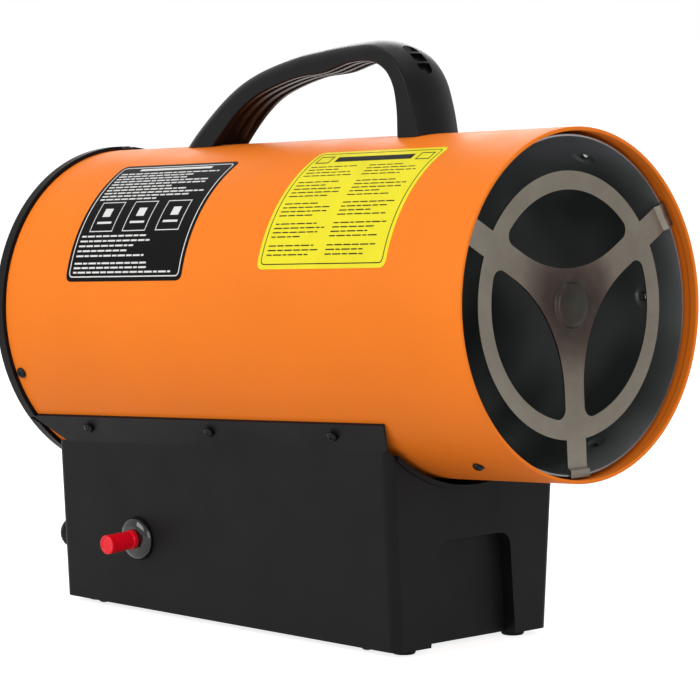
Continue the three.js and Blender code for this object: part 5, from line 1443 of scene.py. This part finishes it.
def border(x0, x1, s0, s1, corner, width):
    """A rounded line that runs round inside a label."""
    loops = []
    for inset in (0, width):
        outline = rectangle(x0 + inset, x1 - inset, s0 + inset, s1 - inset)
        outline = round_corners(outline, [corner - inset] * 4, 8)
        loop = []
        for (ax, ay), (bx, by) in zip(outline, outline[1:] + outline[:1]):
            count = max(1, int(abs(by - ay) / 1.5))
            loop += [(ax + (bx - ax) * i / count, ay + (by - ay) * i / count) for i in range(count)]
        loops.append(loop)
    return plate(loops, [], on_shell(SHEET_HIGH + PRINT_THICKNESS), on_shell(SHEET_HIGH - PRINT_SINK))


def text_bars(x0, x1, rows, height, seed):
    """Rows of bars with ragged ends, in place of lines of print; rows are their lower edges."""
    bars = []
    for i, s in enumerate(rows):
        end = x0 + (x1 - x0) * (0.55 + 0.42 * abs(math.sin(seed + 2.3 * i)))
        words, x = 0, x0
        while x < end - 2:
            stop = min(x + 3 + 4 * abs(math.sin(seed * 3 + 1.7 * words + i)), end)
            bars.append(bar(x, stop, s, s + height))
            x = stop + 1.1
            words += 1
    return bars


def label_sheet(name, place, material):
    """Makes a label's sheet and gives its two places along the tube and its two arc lengths."""
    x0, x1, *angles = place
    s0, s1 = [math.radians(angle) * SHELL_RADIUS for angle in angles]
    dress(make(name, [panel(x0, x1, s0, s1)]), material)
    return x0, x1, s0, s1


def black_label():
    """A black panel with a white border, plain rows of bars and three framed boxes."""
    x0, x1, s0, s1 = label_sheet("black_label_sheet", BLACK_LABEL, BLACK_VINYL)
    left, right, box_low = x0 + LABEL_MARGIN, x1 - LABEL_MARGIN, s0 + 35.5
    prints = [border(x0 + 2.5, x1 - 2.5, s0 + 2.5, s1 - 2.5, 3.6, 0.7),
              bar(left + 14, right - 14, s0 + 4.5, s0 + 6.7)]
    prints += text_bars(left, right, [s0 + 9.2 + 2.6 * i for i in range(10)], 1.1, 1.3)
    for i in range(3):
        start = left + 5 + i * BOX_PITCH
        prints += frame_bars(start, start + BOX_WIDTH, box_low, box_low + BOX_HEIGHT, LABEL_LINE)
        prints.append(bar(start + 4, start + 17, box_low + 14.5, box_low + 16))
        prints.append(bar(start + 6 + i, start + 13 + i, box_low + 5, box_low + 11))
    prints += text_bars(left, left + 66, [s0 + 59.5 + 3.2 * i for i in range(5)], 1.1, 2.2)
    prints += text_bars(left, right, [s0 + 77 + 2.8 * i for i in range(3)], 1.1, 0.4)
    dress(make("black_label_print", prints), WHITE_PRINT)


def yellow_label():
    """A yellow panel with a black border, a title bar between two boxes and two columns of bars."""
    x0, x1, s0, s1 = label_sheet("yellow_label_sheet", YELLOW_LABEL, YELLOW_VINYL)
    prints = [border(x0 + 2.6, x1 - 2.6, s0 + 2.6, s1 - 2.6, 3.4, LABEL_LINE)]
    for start in (x0 + LABEL_MARGIN, x1 - LABEL_MARGIN - 11):
        prints += frame_bars(start, start + 11, s0 + LABEL_MARGIN, s0 + 13.5, 0.8)
    prints.append(bar(x0 + 21, x1 - 21, s0 + 7.2, s0 + 12.4))
    middle = (x0 + x1) / 2
    rows = [s0 + 17 + 2.75 * i for i in range(24) if i not in (4, 10, 15, 20)]
    prints += text_bars(x0 + 6.5, middle - 3, rows, 0.75, 0.9)
    prints += text_bars(middle + 2, x1 - 6.5, rows, 0.75, 2.9)
    dress(make("yellow_label_print", prints), BLACK_PRINT)


# ---- CAD nodes that stay

KEPT_NODES = {
    "base_plate": BLACK_PAINT, "gas_jet": BRASS, "ignition_electrode": CERAMIC, "thermocouple": COPPER,
    "motor_bracket": ZINC, "fan_motor": MOTOR_STEEL, "motor_shaft": ZINC, "gas_valve": BRASS,
    "gas_pipe": COPPER, "inlet_pipe": COPPER, "terminal_block": CERAMIC, "overheat_thermostat": ZINC,
}


def smooth_group():
    """A geometry node group that shades faces smooth and keeps edges above an angle sharp."""
    group = bpy.data.node_groups.new("smooth_by_angle", "GeometryNodeTree")
    for in_out in ("INPUT", "OUTPUT"):
        group.interface.new_socket("Geometry", in_out=in_out, socket_type="NodeSocketGeometry")
    entry = add_node(group, "NodeGroupInput")
    faces = add_node(group, "GeometryNodeSetShadeSmooth", {"Geometry": entry.outputs[0]})
    angle = add_node(group, "GeometryNodeInputMeshEdgeAngle").outputs["Unsigned Angle"]
    sharp = add_node(group, "FunctionNodeCompare", {"A": angle, "B": math.radians(SHARP_ANGLE)},
                     operation="GREATER_THAN")
    edges = add_node(group, "GeometryNodeSetShadeSmooth", {
        "Geometry": faces.outputs[0], "Selection": sharp.outputs[0], "Shade Smooth": False}, domain="EDGE")
    add_node(group, "NodeGroupOutput", {0: edges.outputs[0]})
    return group


def keep_nodes():
    """Looks, fine bevels and smooth shading for the CAD nodes that no piece stands for."""
    group = smooth_group()
    for node, material in KEPT_NODES.items():
        piece = frame["nodes"][node]
        paint(piece, material)
        add_bevel(piece, 0.2, 2, 50)
        piece.modifiers.new("smooth", "NODES").node_group = group


# ---- floor, world, lamps and camera

def empty_tree(owner):
    owner.use_nodes = True
    owner.node_tree.nodes.clear()
    return owner.node_tree


def floor():
    """A pale floor that reads as white and keeps the object's shadow."""
    mesh = bpy.data.meshes.new("floor")
    corners = rectangle(-FLOOR_REACH, FLOOR_REACH, -FLOOR_REACH, FLOOR_REACH)
    mesh.from_pydata([(x, y, 0) for x, y in corners], [], [[0, 1, 2, 3]])
    material = bpy.data.materials.new("floor")
    tree = empty_tree(material)
    path = add_node(tree, "ShaderNodeLightPath").outputs
    seen = add_math(tree, "MAXIMUM", path["Is Camera Ray"], path["Is Glossy Ray"])
    glow = add_node(tree, "ShaderNodeEmission", {
        "Color": WHITE, "Strength": add_math(tree, "MULTIPLY", seen, FLOOR_GLOW)})
    matt = add_node(tree, "ShaderNodeBsdfDiffuse", {"Color": FLOOR_GREY})
    both = add_node(tree, "ShaderNodeAddShader", {0: matt.outputs[0], 1: glow.outputs[0]})
    add_node(tree, "ShaderNodeOutputMaterial", {"Surface": both.outputs[0]})
    mesh.materials.append(material)
    add_object("floor", mesh)


def world():
    """White where the camera and reflections see it, and a softer grey as light."""
    made = bpy.data.worlds.new("studio")
    bpy.context.scene.world = made
    tree = empty_tree(made)
    path = add_node(tree, "ShaderNodeLightPath").outputs
    mirrored = add_math(tree, "MAXIMUM", path["Is Glossy Ray"], path["Is Transmission Ray"])
    seen = add_math(tree, "MAXIMUM", path["Is Camera Ray"], mirrored)
    strength = add_node(tree, "ShaderNodeMapRange", {"Value": seen, "To Min": WORLD_LIGHT, "To Max": 1.0})
    light = add_node(tree, "ShaderNodeBackground", {"Color": WHITE, "Strength": strength.outputs["Result"]})
    add_node(tree, "ShaderNodeOutputWorld", {"Surface": light.outputs[0]})


def soft_box(name, place, size, power):
    """A large lamp that points at the heater's middle."""
    data = bpy.data.lights.new(name, "AREA")
    data.shape = "RECTANGLE"
    data.size, data.size_y = size
    data.energy = power
    lamp = add_object(name, data)
    lamp.location = place
    lamp.rotation_euler = (Vector(LAMP_TARGET) - Vector(place)).to_track_quat("-Z", "Y").to_euler()


def lamps():
    soft_box("key", (-0.5, -1.9, 1.0), (1.4, 1.0), 23)
    soft_box("front", (1.9, -0.7, 0.7), (1.2, 1.2), 12)
    soft_box("top", (0.1, 0.2, 1.9), (1.6, 1.2), 6.5)
    soft_box("back", (-1.4, 1.5, 1.2), (1.2, 1.0), 12)


def camera():
    data = bpy.data.cameras.new("camera")
    data.sensor_width = 36.0
    data.lens = CAMERA_LENS
    data.clip_start, data.clip_end = 0.05, 200.0
    made = add_object("camera", data)
    made.location = CAMERA_PLACE
    made.rotation_euler = [math.radians(angle) for angle in CAMERA_ANGLES]
    bpy.context.scene.camera = made


for build in (outer_shell, base_housing, handle, combustion_chamber, flame_guard, burner_plate, burner_cup,
              fan, rear_grille, screws, feet, valve_pieces, cable_gland, gas_inlet, rocker_switch, igniter,
              black_label, yellow_label, keep_nodes, floor, world, lamps, camera):
    build()
bpy.context.scene.view_settings.view_transform = "Standard"
